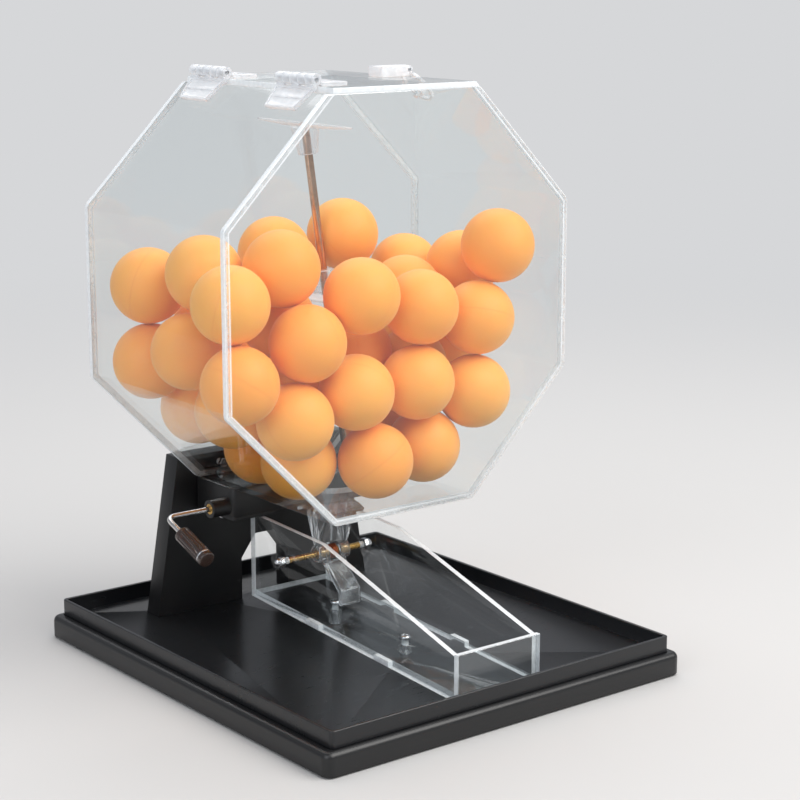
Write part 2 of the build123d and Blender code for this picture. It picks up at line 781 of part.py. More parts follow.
def lid_leaf(centre_y):
    """Leaf glued to the lid: a plate with a raised border and two knuckles."""
    with BuildPart() as leaf:
        with BuildSketch(Plane.XY.offset(drum_top)):
            with Locations((lid_leaf_start + lid_leaf_width / 2, centre_y)):
                Rectangle(lid_leaf_width, hinge_length)
        extrude(amount=leaf_thickness)
        with BuildSketch(Plane.XY.offset(drum_top + leaf_thickness)):
            with Locations((lid_leaf_start + lid_leaf_width / 2, centre_y)):
                Rectangle(lid_leaf_width, hinge_length)
                Rectangle(
                    lid_leaf_width - 2 * leaf_border,
                    hinge_length - 2 * leaf_border,
                    mode=Mode.SUBTRACT,
                )
                Rectangle(leaf_border, hinge_length)
        extrude(amount=leaf_border_height)
        for front in knuckle_places(1):
            with BuildSketch(Plane.XZ.offset(-(centre_y + front))):
                with BuildLine():
                    Polyline(
                        (barrel_x, barrel_z),
                        (lid_hinge_edge + 0.3, drum_top),
                        (lid_leaf_start + 1, drum_top),
                        (lid_leaf_start + 1, drum_top + leaf_thickness),
                        close=True,
                    )
                make_face()
                with Locations((barrel_x, barrel_z)):
                    Circle(barrel_radius)
            extrude(amount=-knuckle_length)
        with BuildSketch(Plane.XZ.offset(-(centre_y - hinge_length))):
            with Locations((barrel_x, barrel_z)):
                Circle(hinge_pin_radius + running_clearance)
        extrude(amount=-2 * hinge_length, mode=Mode.SUBTRACT)
    return leaf.part


with BuildPart() as front_hinge_fixed_leaf:
    add(fixed_leaf(hinge_centre_ys[0]))
front_hinge_fixed_leaf.part.label = "front_hinge_fixed_leaf"
export_step(front_hinge_fixed_leaf.part, "parts/front_hinge_fixed_leaf.step")

with BuildPart() as rear_hinge_fixed_leaf:
    add(fixed_leaf(hinge_centre_ys[1]))
rear_hinge_fixed_leaf.part.label = "rear_hinge_fixed_leaf"
export_step(rear_hinge_fixed_leaf.part, "parts/rear_hinge_fixed_leaf.step")

with BuildPart() as front_hinge_lid_leaf:
    add(lid_leaf(hinge_centre_ys[0]))
front_hinge_lid_leaf.part.label = "front_hinge_lid_leaf"
export_step(front_hinge_lid_leaf.part, "parts/front_hinge_lid_leaf.step")

with BuildPart() as rear_hinge_lid_leaf:
    add(lid_leaf(hinge_centre_ys[1]))
rear_hinge_lid_leaf.part.label = "rear_hinge_lid_leaf"
export_step(rear_hinge_lid_leaf.part, "parts/rear_hinge_lid_leaf.step")

with BuildPart() as hinge_pins:
    for centre_y in hinge_centre_ys:
        with BuildSketch(Plane.XZ.offset(-(centre_y - hinge_length / 2))):
            with Locations((barrel_x, barrel_z)):
                Circle(hinge_pin_radius)
        extrude(amount=-hinge_length)
hinge_pins.part.label = "hinge_pins"
export_step(hinge_pins.part, "parts/hinge_pins.step")

latch_pivot_x = half_side - 1.56
latch_pivot_z = drum_top + 3.5
latch_pin_radius = 1.0
latch_barrel_radius = 2.3
latch_ear = 2.0
latch_height = 5.6
hasp_band = 1.6
hasp_lift = 1.2
hasp_far = 21.2
hasp_near = -2.2
hasp_half_width = 9.0

with BuildPart() as latch_block:
    with BuildSketch(Plane.XZ.offset(-(latch_y - latch_width / 2))):
        with Locations((latch_pivot_x - latch_barrel_radius - 0.7, drum_top)):
            Rectangle(latch_length, latch_height, align=(Align.MAX, Align.MIN))
    extrude(amount=-latch_width)
    for ear_y in (latch_y - latch_width / 2, latch_y + latch_width / 2 - latch_ear):
        with BuildSketch(Plane.XZ.offset(-ear_y)):
            with Locations((latch_pivot_x, drum_top)):
                Rectangle(5, latch_height, align=(Align.MAX, Align.MIN))
            with Locations((latch_pivot_x, latch_pivot_z)):
                Circle(2.1)
        extrude(amount=-latch_ear)
    with BuildSketch(Plane.XZ.offset(-(latch_y - latch_width))):
        with Locations((latch_pivot_x, latch_pivot_z)):
            Circle(latch_pin_radius + press_clearance)
    extrude(amount=-2 * latch_width, mode=Mode.SUBTRACT)
latch_block.part.label = "latch_block"
export_step(latch_block.part, "parts/latch_block.step")

with BuildPart() as latch_pin:
    with BuildSketch(Plane.XZ.offset(-(latch_y - latch_width / 2))):
        with Locations((latch_pivot_x, latch_pivot_z)):
            Circle(latch_pin_radius)
    extrude(amount=-latch_width)
latch_pin.part.label = "latch_pin"
export_step(latch_pin.part, "parts/latch_pin.step")

hasp_barrel_length = latch_width - 2 * latch_ear - 0.6

with BuildPart() as latch_hasp:
    with BuildSketch(slope_plane(1, latch_y).offset(hasp_lift)):
        with Locations(((hasp_far + hasp_near) / 2, 0)):
            Ellipse((hasp_far - hasp_near) / 2, hasp_half_width)
            Ellipse((hasp_far - hasp_near) / 2 - hasp_band, hasp_half_width - hasp_band, mode=Mode.SUBTRACT)
    extrude(amount=hasp_band)
    with BuildSketch(Plane.XZ.offset(-(latch_y - hasp_barrel_length / 2))):
        with Locations((latch_pivot_x, latch_pivot_z)):
            Circle(latch_barrel_radius)
    extrude(amount=-hasp_barrel_length)
    with BuildSketch(Plane.XZ.offset(-(latch_y - latch_width))):
        with Locations((latch_pivot_x, latch_pivot_z)):
            Circle(latch_pin_radius + running_clearance)
    extrude(amount=-2 * latch_width, mode=Mode.SUBTRACT)
latch_hasp.part.label = "latch_hasp"
export_step(latch_hasp.part, "parts/latch_hasp.step")

with BuildPart() as latch_knob:
    with BuildSketch(slope_plane(1, latch_y)):
        with Locations((latch_knob_drop, 0)):
            Circle(latch_knob_radius)
    extrude(amount=4.0)
    fillet(latch_knob.edges().sort_by(Axis.Z)[-1], 1.0)
    with BuildSketch(slope_plane(1, latch_y)):
        with Locations((latch_knob_drop, 0)):
            Circle(knob_shank_radius)
    extrude(amount=-sheet)
latch_knob.part.label = "latch_knob"
export_step(latch_knob.part, "parts/latch_knob.step")

# ---------------------------------------------------------------- chute

chute_half = chute_width / 2
tab_length = 12.0
tab_ys = (4.5, -56.0)
wall_bend_round = 6.0


def chute_wall(inner_x, side):
    """One side wall, cut from sheet, with slots at its lower edge for the floor's tabs."""
    with BuildPart() as wall:
        with BuildSketch(Plane.YZ.offset(inner_x)):
            with BuildLine():
                FilletPolyline(
                    (chute_front + sheet, chute_bottom(chute_front + sheet)),
                    (chute_front + sheet, chute_front_top - 1),
                    (chute_bend_y, chute_bend_top),
                    (chute_rear, chute_rear_top),
                    (chute_rear, chute_rear_bottom),
                    radius=(0.5, wall_bend_round, 0.5),
                    close=False,
                )
                Line(
                    (chute_rear, chute_rear_bottom),
                    (chute_front + sheet, chute_bottom(chute_front + sheet)),
                )
            make_face()
        extrude(amount=side * sheet)
        with BuildSketch(Plane.YZ.offset(inner_x)):
            for tab_y in tab_ys:
                slot = tab_length + 2 * press_clearance
                with BuildLine():
                    Polyline(
                        (tab_y - slot / 2, chute_bottom(tab_y - slot / 2) - 1),
                        (tab_y + slot / 2, chute_bottom(tab_y + slot / 2) - 1),
                        (tab_y + slot / 2, chute_bottom(tab_y + slot / 2) + sheet + press_clearance),
                        (tab_y - slot / 2, chute_bottom(tab_y - slot / 2) + sheet + press_clearance),
                        close=True,
                    )
                make_face()
        extrude(amount=side * sheet, mode=Mode.SUBTRACT)
        with BuildSketch(Plane.YZ.offset(inner_x)):
            with Locations((gate_rod_y, gate_rod_z)):
                Circle(gate_rod_radius + press_clearance)
        extrude(amount=side * sheet, mode=Mode.SUBTRACT)
    return wall.part


with BuildPart() as chute_left_wall:
    add(chute_wall(-chute_half + sheet, -1))
chute_left_wall.part.label = "chute_left_wall"
export_step(chute_left_wall.part, "parts/chute_left_wall.step")

with BuildPart() as chute_right_wall:
    add(chute_wall(chute_half - sheet, 1))
chute_right_wall.part.label = "chute_right_wall"
export_step(chute_right_wall.part, "parts/chute_right_wall.step")

with BuildPart() as chute_floor:
    with BuildSketch(Plane.YZ):
        with BuildLine():
            Polyline(
                (chute_front + sheet, chute_bottom(chute_front + sheet)),
                (chute_rear, chute_rear_bottom),
                (chute_rear, chute_rear_bottom + sheet),
                (chute_front + sheet, chute_bottom(chute_front + sheet) + sheet),
                close=True,
            )
        make_face()
    extrude(amount=chute_half - sheet, both=True)
    for tab_y in tab_ys:
        with BuildSketch(Plane.YZ):
            with BuildLine():
                Polyline(
                    (tab_y - tab_length / 2, chute_bottom(tab_y - tab_length / 2)),
                    (tab_y + tab_length / 2, chute_bottom(tab_y + tab_length / 2)),
                    (tab_y + tab_length / 2, chute_bottom(tab_y + tab_length / 2) + sheet),
                    (tab_y - tab_length / 2, chute_bottom(tab_y - tab_length / 2) + sheet),
                    close=True,
                )
            make_face()
        extrude(amount=chute_half, both=True)
    with BuildSketch(Plane.XY.offset(tray_floor_top)):
        with Locations(*[(0, y) for y in chute_screw_ys]):
            Circle(screw_radius + screw_clearance)
    extrude(amount=chute_rear_top, mode=Mode.SUBTRACT)
chute_floor.part.label = "chute_floor"
export_step(chute_floor.part, "parts/chute_floor.step")

with BuildPart() as chute_stop:
    with BuildSketch(Plane.XZ.offset(-chute_front)):
        with Locations((0, tray_floor_top)):
            Rectangle(chute_width, chute_front_top - tray_floor_top, align=(Align.CENTER, Align.MIN))
    extrude(amount=-sheet)
    chamfer(chute_stop.faces().sort_by(Axis.Y)[0].edges(), 0.3)
chute_stop.part.label = "chute_stop"
export_step(chute_stop.part, "parts/chute_stop.step")

chute_screw_head = 2.0

with BuildPart() as chute_screws:
    for y in chute_screw_ys:
        seat = chute_bottom(y) + sheet + 0.2
        with BuildSketch(Plane.XY.offset(seat)):
            with Locations((0, y)):
                Circle(head_radius)
        extrude(amount=chute_screw_head)
        with BuildSketch(Plane.XY.offset(seat)):
            with Locations((0, y)):
                Circle(screw_radius)
        extrude(amount=-(seat - deck_bottom + nut_height))
chute_screws.part.label = "chute_screws"
export_step(chute_screws.part, "parts/chute_screws.step")

spacer_radius = 3.5

with BuildPart() as chute_spacers:
    for y in chute_screw_ys:
        low_edge = chute_bottom(y - spacer_radius)
        with BuildSketch(Plane.XY.offset(tray_floor_top)):
            with Locations((0, y)):
                Circle(spacer_radius)
                Circle(screw_radius + running_clearance, mode=Mode.SUBTRACT)
        extrude(amount=low_edge - tray_floor_top)
chute_spacers.part.label = "chute_spacers"
export_step(chute_spacers.part, "parts/chute_spacers.step")

with BuildPart() as chute_nuts:
    with BuildSketch(Plane.XY.offset(deck_bottom)):
        with Locations(*[(0, y) for y in chute_screw_ys]):
            RegularPolygon(nut_radius, 6)
            Circle(screw_radius + press_clearance, mode=Mode.SUBTRACT)
    extrude(amount=-nut_height)
chute_nuts.part.label = "chute_nuts"
export_step(chute_nuts.part, "parts/chute_nuts.step")

# ---------------------------------------------------------------- ball gate

gate_left = gate_centre_x - gate_hub_length / 2
gate_right = gate_centre_x + gate_hub_length / 2
sleeve_radius = 2.9
spring_half = spring_turns * (spring_wire + 0.25) / 2 + spring_wire
rod_point = (gate_rod_y, gate_rod_z)

with BuildPart() as gate_rod:
    with BuildSketch(Plane.YZ.offset(-chute_half - 3.5)):
        with Locations(rod_point):
            Circle(gate_rod_radius)
    extrude(amount=chute_width + 7)
gate_rod.part.label = "gate_rod"
export_step(gate_rod.part, "parts/gate_rod.step")

cap_nut_radius = 3.4
cap_nut_length = 3.0

with BuildPart() as rod_cap_nuts:
    for side in (-1, 1):
        with BuildSketch(Plane.YZ.offset(side * chute_half)):
            with Locations(rod_point):
                RegularPolygon(cap_nut_radius, 6)
        extrude(amount=side * cap_nut_length)
        with Locations((side * (chute_half + cap_nut_length), gate_rod_y, gate_rod_z)):
            Sphere(cap_nut_radius * 0.8)
    with BuildSketch(Plane.YZ.offset(-chute_half - 3.5 - press_clearance)):
        with Locations(rod_point):
            Circle(gate_rod_radius + press_clearance)
    extrude(amount=chute_width + 7 + 2 * press_clearance, mode=Mode.SUBTRACT)
rod_cap_nuts.part.label = "rod_cap_nuts"
export_step(rod_cap_nuts.part, "parts/rod_cap_nuts.step")

shoe_inner = gate_shoe_radius - gate_shoe_thickness
arm_thickness = 3.0
fan_top_half = 14.0
fan_rib = 2.0

with BuildPart() as gate_lever:
    # hub in two cheeks, with the spring between them
    with BuildSketch(Plane.YZ.offset(gate_left)):
        with Locations(rod_point):
            Circle(gate_hub_radius)
    extrude(amount=gate_hub_length / 2 - spring_half)
    with BuildSketch(Plane.YZ.offset(gate_right)):
        with Locations(rod_point):
            Circle(gate_hub_radius)
    extrude(amount=-(gate_hub_length / 2 - spring_half))
    # curved shoe that closes the drop under the drum's hole
    with BuildSketch(Plane.YZ.offset(gate_centre_x)):
        with Locations(rod_point):
            Circle(gate_shoe_radius)
            Circle(shoe_inner, mode=Mode.SUBTRACT)
        with BuildLine():
            reach = 2 * gate_shoe_radius
            spread = reach * tan(radians(gate_shoe_half_angle))
            Polyline(
                rod_point,
                (gate_rod_y - spread, gate_rod_z + reach),
                (gate_rod_y + spread, gate_rod_z + reach),
                close=True,
            )
        make_face(mode=Mode.INTERSECT)
    extrude(amount=fan_top_half, both=True)
    # fan web from the hub's cheeks up to the shoe
    with BuildSketch(Plane.XZ.offset(-(gate_rod_y + arm_thickness / 2))):
        with BuildLine():
            Polyline(
                (gate_left, gate_rod_z + 3.5),
                (gate_centre_x - fan_top_half, gate_rod_z + shoe_inner + 0.5),
                (gate_centre_x + fan_top_half, gate_rod_z + shoe_inner + 0.5),
                (gate_right, gate_rod_z + 3.5),
                (gate_centre_x + spring_half, gate_rod_z + 3.5),
                (gate_centre_x + spring_half, gate_rod_z + gate_hub_radius + 1),
                (gate_centre_x - spring_half, gate_rod_z + gate_hub_radius + 1),
                (gate_centre_x - spring_half, gate_rod_z + 3.5),
                close=True,
            )
        make_face()
    extrude(amount=arm_thickness)
    # two side ribs under the shoe
    rib_base = gate_shoe_radius * 0.45
    for rib_x in (gate_left, gate_right - fan_rib):
        with BuildSketch(Plane.YZ.offset(rib_x)):
            with BuildLine():
                Polyline(
                    (gate_rod_y - 2, gate_rod_z + gate_hub_radius - 1),
                    (gate_rod_y + 2, gate_rod_z + gate_hub_radius - 1),
                    (gate_rod_y + rib_base * 0.75, gate_rod_z + shoe_inner * 0.93 + 0.5),
                    (gate_rod_y - rib_base * 0.75, gate_rod_z + shoe_inner * 0.93 + 0.5),
                    close=True,
                )
            make_face()
        extrude(amount=fan_rib)
    # bent arm down to the foot that a finger moves
    with BuildSketch(Plane.YZ.offset(gate_centre_x - gate_arm_width / 2)):
        with BuildLine() as arm_line:
            FilletPolyline(
                (gate_rod_y - 3.2, gate_rod_z - 5.5),
                (gate_knee_y, gate_knee_z),
                (gate_knee_y, gate_foot_z + arm_thickness / 2),
                radius=3,
            )
            offset(amount=arm_thickness / 2, side=Side.BOTH)
        make_face()
    extrude(amount=gate_arm_width)
    for side in (-1, 1):
        inner = gate_centre_x + side * spring_half
        outer = gate_centre_x + side * gate_arm_width / 2
        with BuildSketch(Plane.YZ.offset(min(inner, outer))):
            with BuildLine():
                Polyline(
                    (gate_rod_y - 4, gate_rod_z),
                    (gate_rod_y + 2, gate_rod_z - 4),
                    (gate_rod_y - 3, gate_rod_z - 7),
                    (gate_rod_y - 6.5, gate_rod_z - 7),
                    close=True,
                )
            make_face()
        extrude(amount=abs(outer - inner))
    with BuildSketch(Plane.YZ.offset(gate_left - 1)):
        with Locations(rod_point):
            Circle(sleeve_radius + press_clearance)
    extrude(amount=gate_hub_length + 2, mode=Mode.SUBTRACT)
gate_lever.part.label = "gate_lever"
export_step(gate_lever.part, "parts/gate_lever.step")

with BuildPart() as gate_sleeve:
    with BuildSketch(Plane.YZ.offset(gate_left)):
        with Locations(rod_point):
            Circle(sleeve_radius)
            Circle(gate_rod_radius + running_clearance, mode=Mode.SUBTRACT)
    extrude(amount=gate_hub_length)
gate_sleeve.part.label = "gate_sleeve"
export_step(gate_sleeve.part, "parts/gate_sleeve.step")

spring_radius = sleeve_radius + spring_wire / 2 + 0.25
spring_pitch = spring_wire + 0.3
spring_start = gate_centre_x - spring_turns * spring_pitch / 2
spring_wire_sides = 8

with BuildPart() as gate_spring:
    with BuildLine() as coil:
        Helix(
            pitch=spring_pitch,
            height=spring_turns * spring_pitch,
            radius=spring_radius,
            center=(spring_start, gate_rod_y, gate_rod_z),
            direction=(1, 0, 0),
        )
    with BuildSketch(Plane(origin=coil.line @ 0, z_dir=coil.line % 0)):
        RegularPolygon(spring_wire / 2, spring_wire_sides)
    sweep(path=coil.wires()[0], is_frenet=True)
gate_spring.part.label = "gate_spring"
export_step(gate_spring.part, "parts/gate_spring.step")
print("least gap between spring turns", round(spring_pitch - spring_wire, 2))

# ---------------------------------------------------------------- balls

# Ball centres as seen through the panels: x, y and z in whole millimetres. The settling below moves each
# one by the little it needs to rest clear of its neighbours, the walls and the agitator.
front_balls = (
    (-86, -20, 161), (-87, -14, 196), (-53, -6, 218), (-45, -20, 182), (-52, -20, 147), (-40, -8, 114),
    (-11, -20, 207), (-11, -20, 149), (0, -20, 113), (29, -20, 187), (31, -20, 149), (30, -14, 115),
    (66, -20, 141), (66, -20, 179), (75, -20, 209),
)
middle_balls = (
    (-77, 22, 220), (-87, 37, 182), (-83, 23, 142), (-52, 28, 113), (-33, 20, 176), (-38, 22, 140),
    (26, 16, 170), (52, 18, 118), (62, 20, 150), (85, 22, 203), (60, 32, 200), (90, 22, 165),
)
back_balls = (
    (-87, 66, 203), (-87, 66, 162), (-60, 65, 135), (-50, 64, 190), (-22, 64, 115), (-24, 62, 158),
    (-6, 65, 221), (41, 65, 221), (78, 60, 190), (70, 64, 145), (48, 64, 118),
)
ball_radius = ball_diameter / 2
ball_gap = 0.25
settle_steps = 500
settle_step = 0.05


def push_from(point, anchor, least):
    """Point moved straight away from an anchor until it is at least that far off."""
    away = point - anchor
    distance = np.linalg.norm(away)
    return anchor + away * (least / distance) if distance < least else point


def clear_of_agitator(point):
    """Point moved clear of the shaft and of the space that the lower paddle sweeps."""
    origin = np.array(tuple(apex))
    axis = np.array(tuple(shaft_dir))
    along = float((point - origin) @ axis)
    foot = origin + axis * along
    point = push_from(point, foot, ball_radius + shaft_radius + 2 * ball_gap)
    sweep_half = paddle_radius * sin(radians(paddle_tilt)) + disc_thickness
    beyond = along - height_on_shaft(lower_paddle_z)
    outside = abs(beyond) - sweep_half
    radial = np.linalg.norm(point - foot)
    if outside < 0 and radial < paddle_radius + ball_radius + ball_gap:
        return push_from(point, foot, paddle_radius + ball_radius + ball_gap)
    if 0 <= outside < ball_radius + ball_gap:
        rim = np.array(foot - axis * beyond + axis * sweep_half * np.sign(beyond))
        across = (point - foot) / radial
        edge = rim + across * min(radial, paddle_radius)
        return push_from(point, edge, ball_radius + ball_gap)
    return point


def inside_drum(point):
    """Point moved inside the octagon's walls and between the end panels."""
    limit = drum_across_flats / 2 - sheet - ball_radius - ball_gap
    x, y, z = point
    z -= drum_mid_z
    for turn in range(8):
        nx, nz = cos(turn * pi / 4), sin(turn * pi / 4)
        over = x * nx + z * nz - limit
        if over > 0:
            x, z = x - over * nx, z - over * nz
    low = drum_front + sheet + ball_radius + ball_gap
    high = drum_back - sheet - ball_radius - ball_gap
    return np.array([x, min(max(y, low), high), z + drum_mid_z])


def settled_balls():
    """Centres after the balls have pushed each other apart, with the ball hole kept free."""
    points = [np.array(ball, float) for ball in front_balls + middle_balls + back_balls]
    hole_guard = np.array([ball_hole_x, ball_hole_y, drum_bottom + 9.0])
    least = ball_diameter + ball_gap
    for step in range(settle_steps):
        for first in range(len(points)):
            if step < settle_steps / 2:
                points[first] = points[first] - np.array([0, 0, settle_step])
            for second in range(first + 1, len(points)):
                gap = points[second] - points[first]
                distance = np.linalg.norm(gap)
                if distance < least:
                    shift = gap * ((least - distance) / distance / 2)
                    points[first] = points[first] - shift
                    points[second] = points[second] + shift
            points[first] = push_from(points[first], hole_guard, least)
            points[first] = clear_of_agitator(points[first])
            points[first] = inside_drum(points[first])
    return points


ball_centres = settled_balls()
closest = min(
    float(np.linalg.norm(a - b)) for i, a in enumerate(ball_centres) for b in ball_centres[:i]
)
print("balls", len(ball_centres), "least gap between balls", round(closest - ball_diameter, 2))

with BuildPart() as balls:
    with Locations(*[tuple(float(value) for value in centre) for centre in ball_centres]):
        Sphere(ball_radius)
balls.part.label = "balls"
export_step(balls.part, "parts/balls.step")
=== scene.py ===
import logging
import math
from dataclasses import dataclass, field
from enum import Enum

import bpy
from mathutils import Euler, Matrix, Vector


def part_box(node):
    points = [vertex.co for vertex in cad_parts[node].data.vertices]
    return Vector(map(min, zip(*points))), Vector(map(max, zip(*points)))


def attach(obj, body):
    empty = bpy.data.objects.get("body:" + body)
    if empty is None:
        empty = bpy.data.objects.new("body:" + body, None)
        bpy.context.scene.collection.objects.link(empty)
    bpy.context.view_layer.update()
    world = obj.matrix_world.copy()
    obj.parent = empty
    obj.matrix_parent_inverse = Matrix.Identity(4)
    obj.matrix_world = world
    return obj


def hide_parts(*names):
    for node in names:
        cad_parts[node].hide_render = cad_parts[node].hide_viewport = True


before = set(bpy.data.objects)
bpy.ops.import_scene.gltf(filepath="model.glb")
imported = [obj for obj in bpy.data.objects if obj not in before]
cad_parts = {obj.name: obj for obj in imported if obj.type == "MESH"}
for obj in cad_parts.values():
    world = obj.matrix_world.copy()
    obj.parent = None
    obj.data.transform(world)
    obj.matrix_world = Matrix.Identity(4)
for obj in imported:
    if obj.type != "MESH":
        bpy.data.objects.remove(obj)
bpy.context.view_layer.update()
log = logging.getLogger("raffle_drum")
MM = 0.001
MERGE_DISTANCE = 2e-6  # corners nearer than this many metres become one
FLAT_ANGLE = 0.6  # faces that meet at less than this many degrees become one
NOISE_ROUGHNESS = 0.55  # weight of a noise's finer octaves
LOW_HEAD = 1.8 * MM  # height of the lower pan heads


def srgb(red: float, green: float, blue: float) -> tuple[float, float, float, float]:
    """Turn a colour in 0 to 255 display values into linear values for a shader.

    Args:
        red: Display value of red.
        green: Display value of green.
        blue: Display value of blue.

    Returns:
        Linear red, green and blue, and an alpha of one.
    """

    def linear(value: float) -> float:
        """Undo the display curve of one channel."""
        share = value / 255
        return share / 12.92 if share <= 0.04045 else ((share + 0.055) / 1.055) ** 2.4

    return linear(red), linear(green), linear(blue), 1.0


# ---------------------------------------------------------------- shader expressions


class Wire:
    """An output of a shader node that takes part in Python arithmetic."""

    def __init__(self, graph: "Graph", socket: bpy.types.NodeSocket) -> None:
        """Keep the graph that new Math nodes go into, and the output itself."""
        self.graph = graph
        self.socket = socket

    def _math(
        self, operation: str, first: "Wire | float", second: "Wire | float" = 0.0, clamp: bool = False
    ) -> "Wire":
        """Add a Math node for one operation.

        Args:
            operation: Blender's name for the operation.
            first: First operand.
            second: Second operand, where the operation has one.
            clamp: Whether the result is held between zero and one.

        Returns:
            The node's result.
        """
        settings = {"operation": operation, "use_clamp": clamp}
        return self.graph.node("ShaderNodeMath", settings, {0: first, 1: second})

    def __add__(self, other: "Wire | float") -> "Wire":
        """Sum."""
        return self._math("ADD", self, other)

    def __radd__(self, other: float) -> "Wire":
        """Sum with a number on the left."""
        return self._math("ADD", other, self)

    def __sub__(self, other: "Wire | float") -> "Wire":
        """Difference."""
        return self._math("SUBTRACT", self, other)

    def __rsub__(self, other: float) -> "Wire":
        """Difference with a number on the left."""
        return self._math("SUBTRACT", other, self)

    def __mul__(self, other: "Wire | float") -> "Wire":
        """Product."""
        return self._math("MULTIPLY", self, other)

    def __pow__(self, other: "Wire | float") -> "Wire":
        """Power."""
        return self._math("POWER", self, other)

    def __abs__(self) -> "Wire":
        """Absolute value."""
        return self._math("ABSOLUTE", self)

    def higher(self, other: "Wire | float") -> "Wire":
        """The larger of two values."""
        return self._math("MAXIMUM", self, other)

    def clamped(self) -> "Wire":
        """The value held between zero and one."""
        return self._math("ADD", self, 0.0, clamp=True)

    def step(self, start: float, end: float) -> "Wire":
        """Smooth rise from 0 at start to 1 at end, or a fall where start is the larger.

        Args:
            start: Value that gives zero.
            end: Value that gives one.

        Returns:
            The eased share.
        """
        low, high = (start, end) if start < end else (end, start)
        outs = (0.0, 1.0) if start < end else (1.0, 0.0)
        return self.graph.node(
            "ShaderNodeMapRange",
            {"interpolation_type": "SMOOTHSTEP"},
            {"Value": self, "From Min": low, "From Max": high, "To Min": outs[0], "To Max": outs[1]},
        )


class Graph:
    """The node tree of one material."""

    def __init__(self, name: str) -> None:
        """Start an empty material.

        Args:
            name: Name of the material.
        """
        self.material = bpy.data.materials.new(name)
        self.material.use_nodes = True
        self.tree = self.material.node_tree
        self.tree.nodes.clear()
        self._places: Wire | None = None

    def node(self, kind: str, settings: dict, inputs: dict, output: int | str = 0) -> Wire:
        """Add any node.

        Args:
            kind: Blender's type of the node.
            settings: The node's own settings, set before its sockets.
            inputs: Socket name or number to a value or a Wire.
            output: Which output the result is.

        Returns:
            The chosen output.
        """
        made = self.tree.nodes.new(kind)
        for name, value in settings.items():
            setattr(made, name, value)
        for name, value in inputs.items():
            if isinstance(value, Wire):
                self.tree.links.new(value.socket, made.inputs[name])
            else:
                made.inputs[name].default_value = value
        return Wire(self, made.outputs[output])

    @property
    def places(self) -> Wire:
        """Object coordinates in metres, which are the object's own frame for every piece."""
        if self._places is None:
            self._places = self.node("ShaderNodeTexCoord", {}, {}, "Object")
        return self._places

    def axes(self, vector: Wire) -> tuple[Wire, Wire, Wire]:
        """The three numbers of a vector."""
        first = self.node("ShaderNodeSeparateXYZ", {}, {0: vector}, 0)
        split = first.socket.node
        return first, Wire(self, split.outputs[1]), Wire(self, split.outputs[2])

    def noise(self, scale: float, detail: float = 3.0, vector: Wire | None = None) -> Wire:
        """Noise between zero and one.

        Args:
            scale: Features per metre.
            detail: Octaves.
            vector: Coordinates, where they aren't the object's.

        Returns:
            The noise value.
        """
        return self.node(
            "ShaderNodeTexNoise",
            {},
            {"Vector": vector or self.places, "Scale": scale, "Detail": detail, "Roughness": NOISE_ROUGHNESS},
        )

    def stretched(self, factors: tuple[float, float, float]) -> Wire:
        """Object coordinates scaled by a factor along each axis."""
        return self.node("ShaderNodeMapping", {}, {"Vector": self.places, "Scale": factors})

    def blend(self, factor: Wire | float, first: tuple | Wire, second: tuple | Wire) -> Wire:
        """Mix two colours."""
        return self.node("ShaderNodeMix", {"data_type": "RGBA"}, {0: factor, 6: first, 7: second}, 2)

    def bump(self, height: Wire, distance: float, strength: float = 1.0) -> Wire:
        """Normal of a bumpy surface, from a height in shares of a distance in metres."""
        return self.node("ShaderNodeBump", {}, {"Height": height, "Distance": distance, "Strength": strength})

    def principled(self, inputs: dict) -> Wire:
        """Principled shader with the given sockets."""
        return self.node("ShaderNodeBsdfPrincipled", {}, inputs)

    def finish(self, shader: Wire) -> bpy.types.Material:
        """Connect the surface and hand over the material."""
        self.tree.links.new(shader.socket, self.tree.nodes.new("ShaderNodeOutputMaterial").inputs["Surface"])
        return self.material


# ---------------------------------------------------------------- finishes


@dataclass(frozen=True)
class MouldedPlastic:
    """Satin moulded plastic with a fine grain, cloudy gloss and faint handling marks."""

    name: str
    colour: tuple
    light: tuple
    roughness: float = 0.42
    grain: float = 0.00003

    def make(self) -> bpy.types.Material:
        """Build the material.

        Returns:
            The material.
        """
        graph = Graph(self.name)
        cloud = graph.noise(11.0, 4.0)
        grain = graph.noise(2600.0, 2.0)
        marks = graph.noise(90.0, 3.0, graph.stretched((1.0, 14.0, 3.0))).step(0.62, 0.8)
        dust = graph.noise(700.0, 2.0).step(0.66, 0.82)
        colour = graph.blend((cloud * 0.5 + marks * 0.25 + dust * 0.2).clamped(), self.colour, self.light)
        rough = (cloud - 0.5) * 0.16 + self.roughness - marks * 0.08 + dust * 0.1
        return graph.finish(
            graph.principled(
                {
                    "Base Color": colour,
                    "Roughness": rough.clamped(),
                    "Specular IOR Level": 0.5,
                    "Normal": graph.bump(grain, self.grain, 0.6),
                }
            )
        )


class SheetNormal(Enum):
    """Which way the flat faces of a clear sheet look."""

    X = 0
    Y = 1
    Z = 2
    BENT = 3


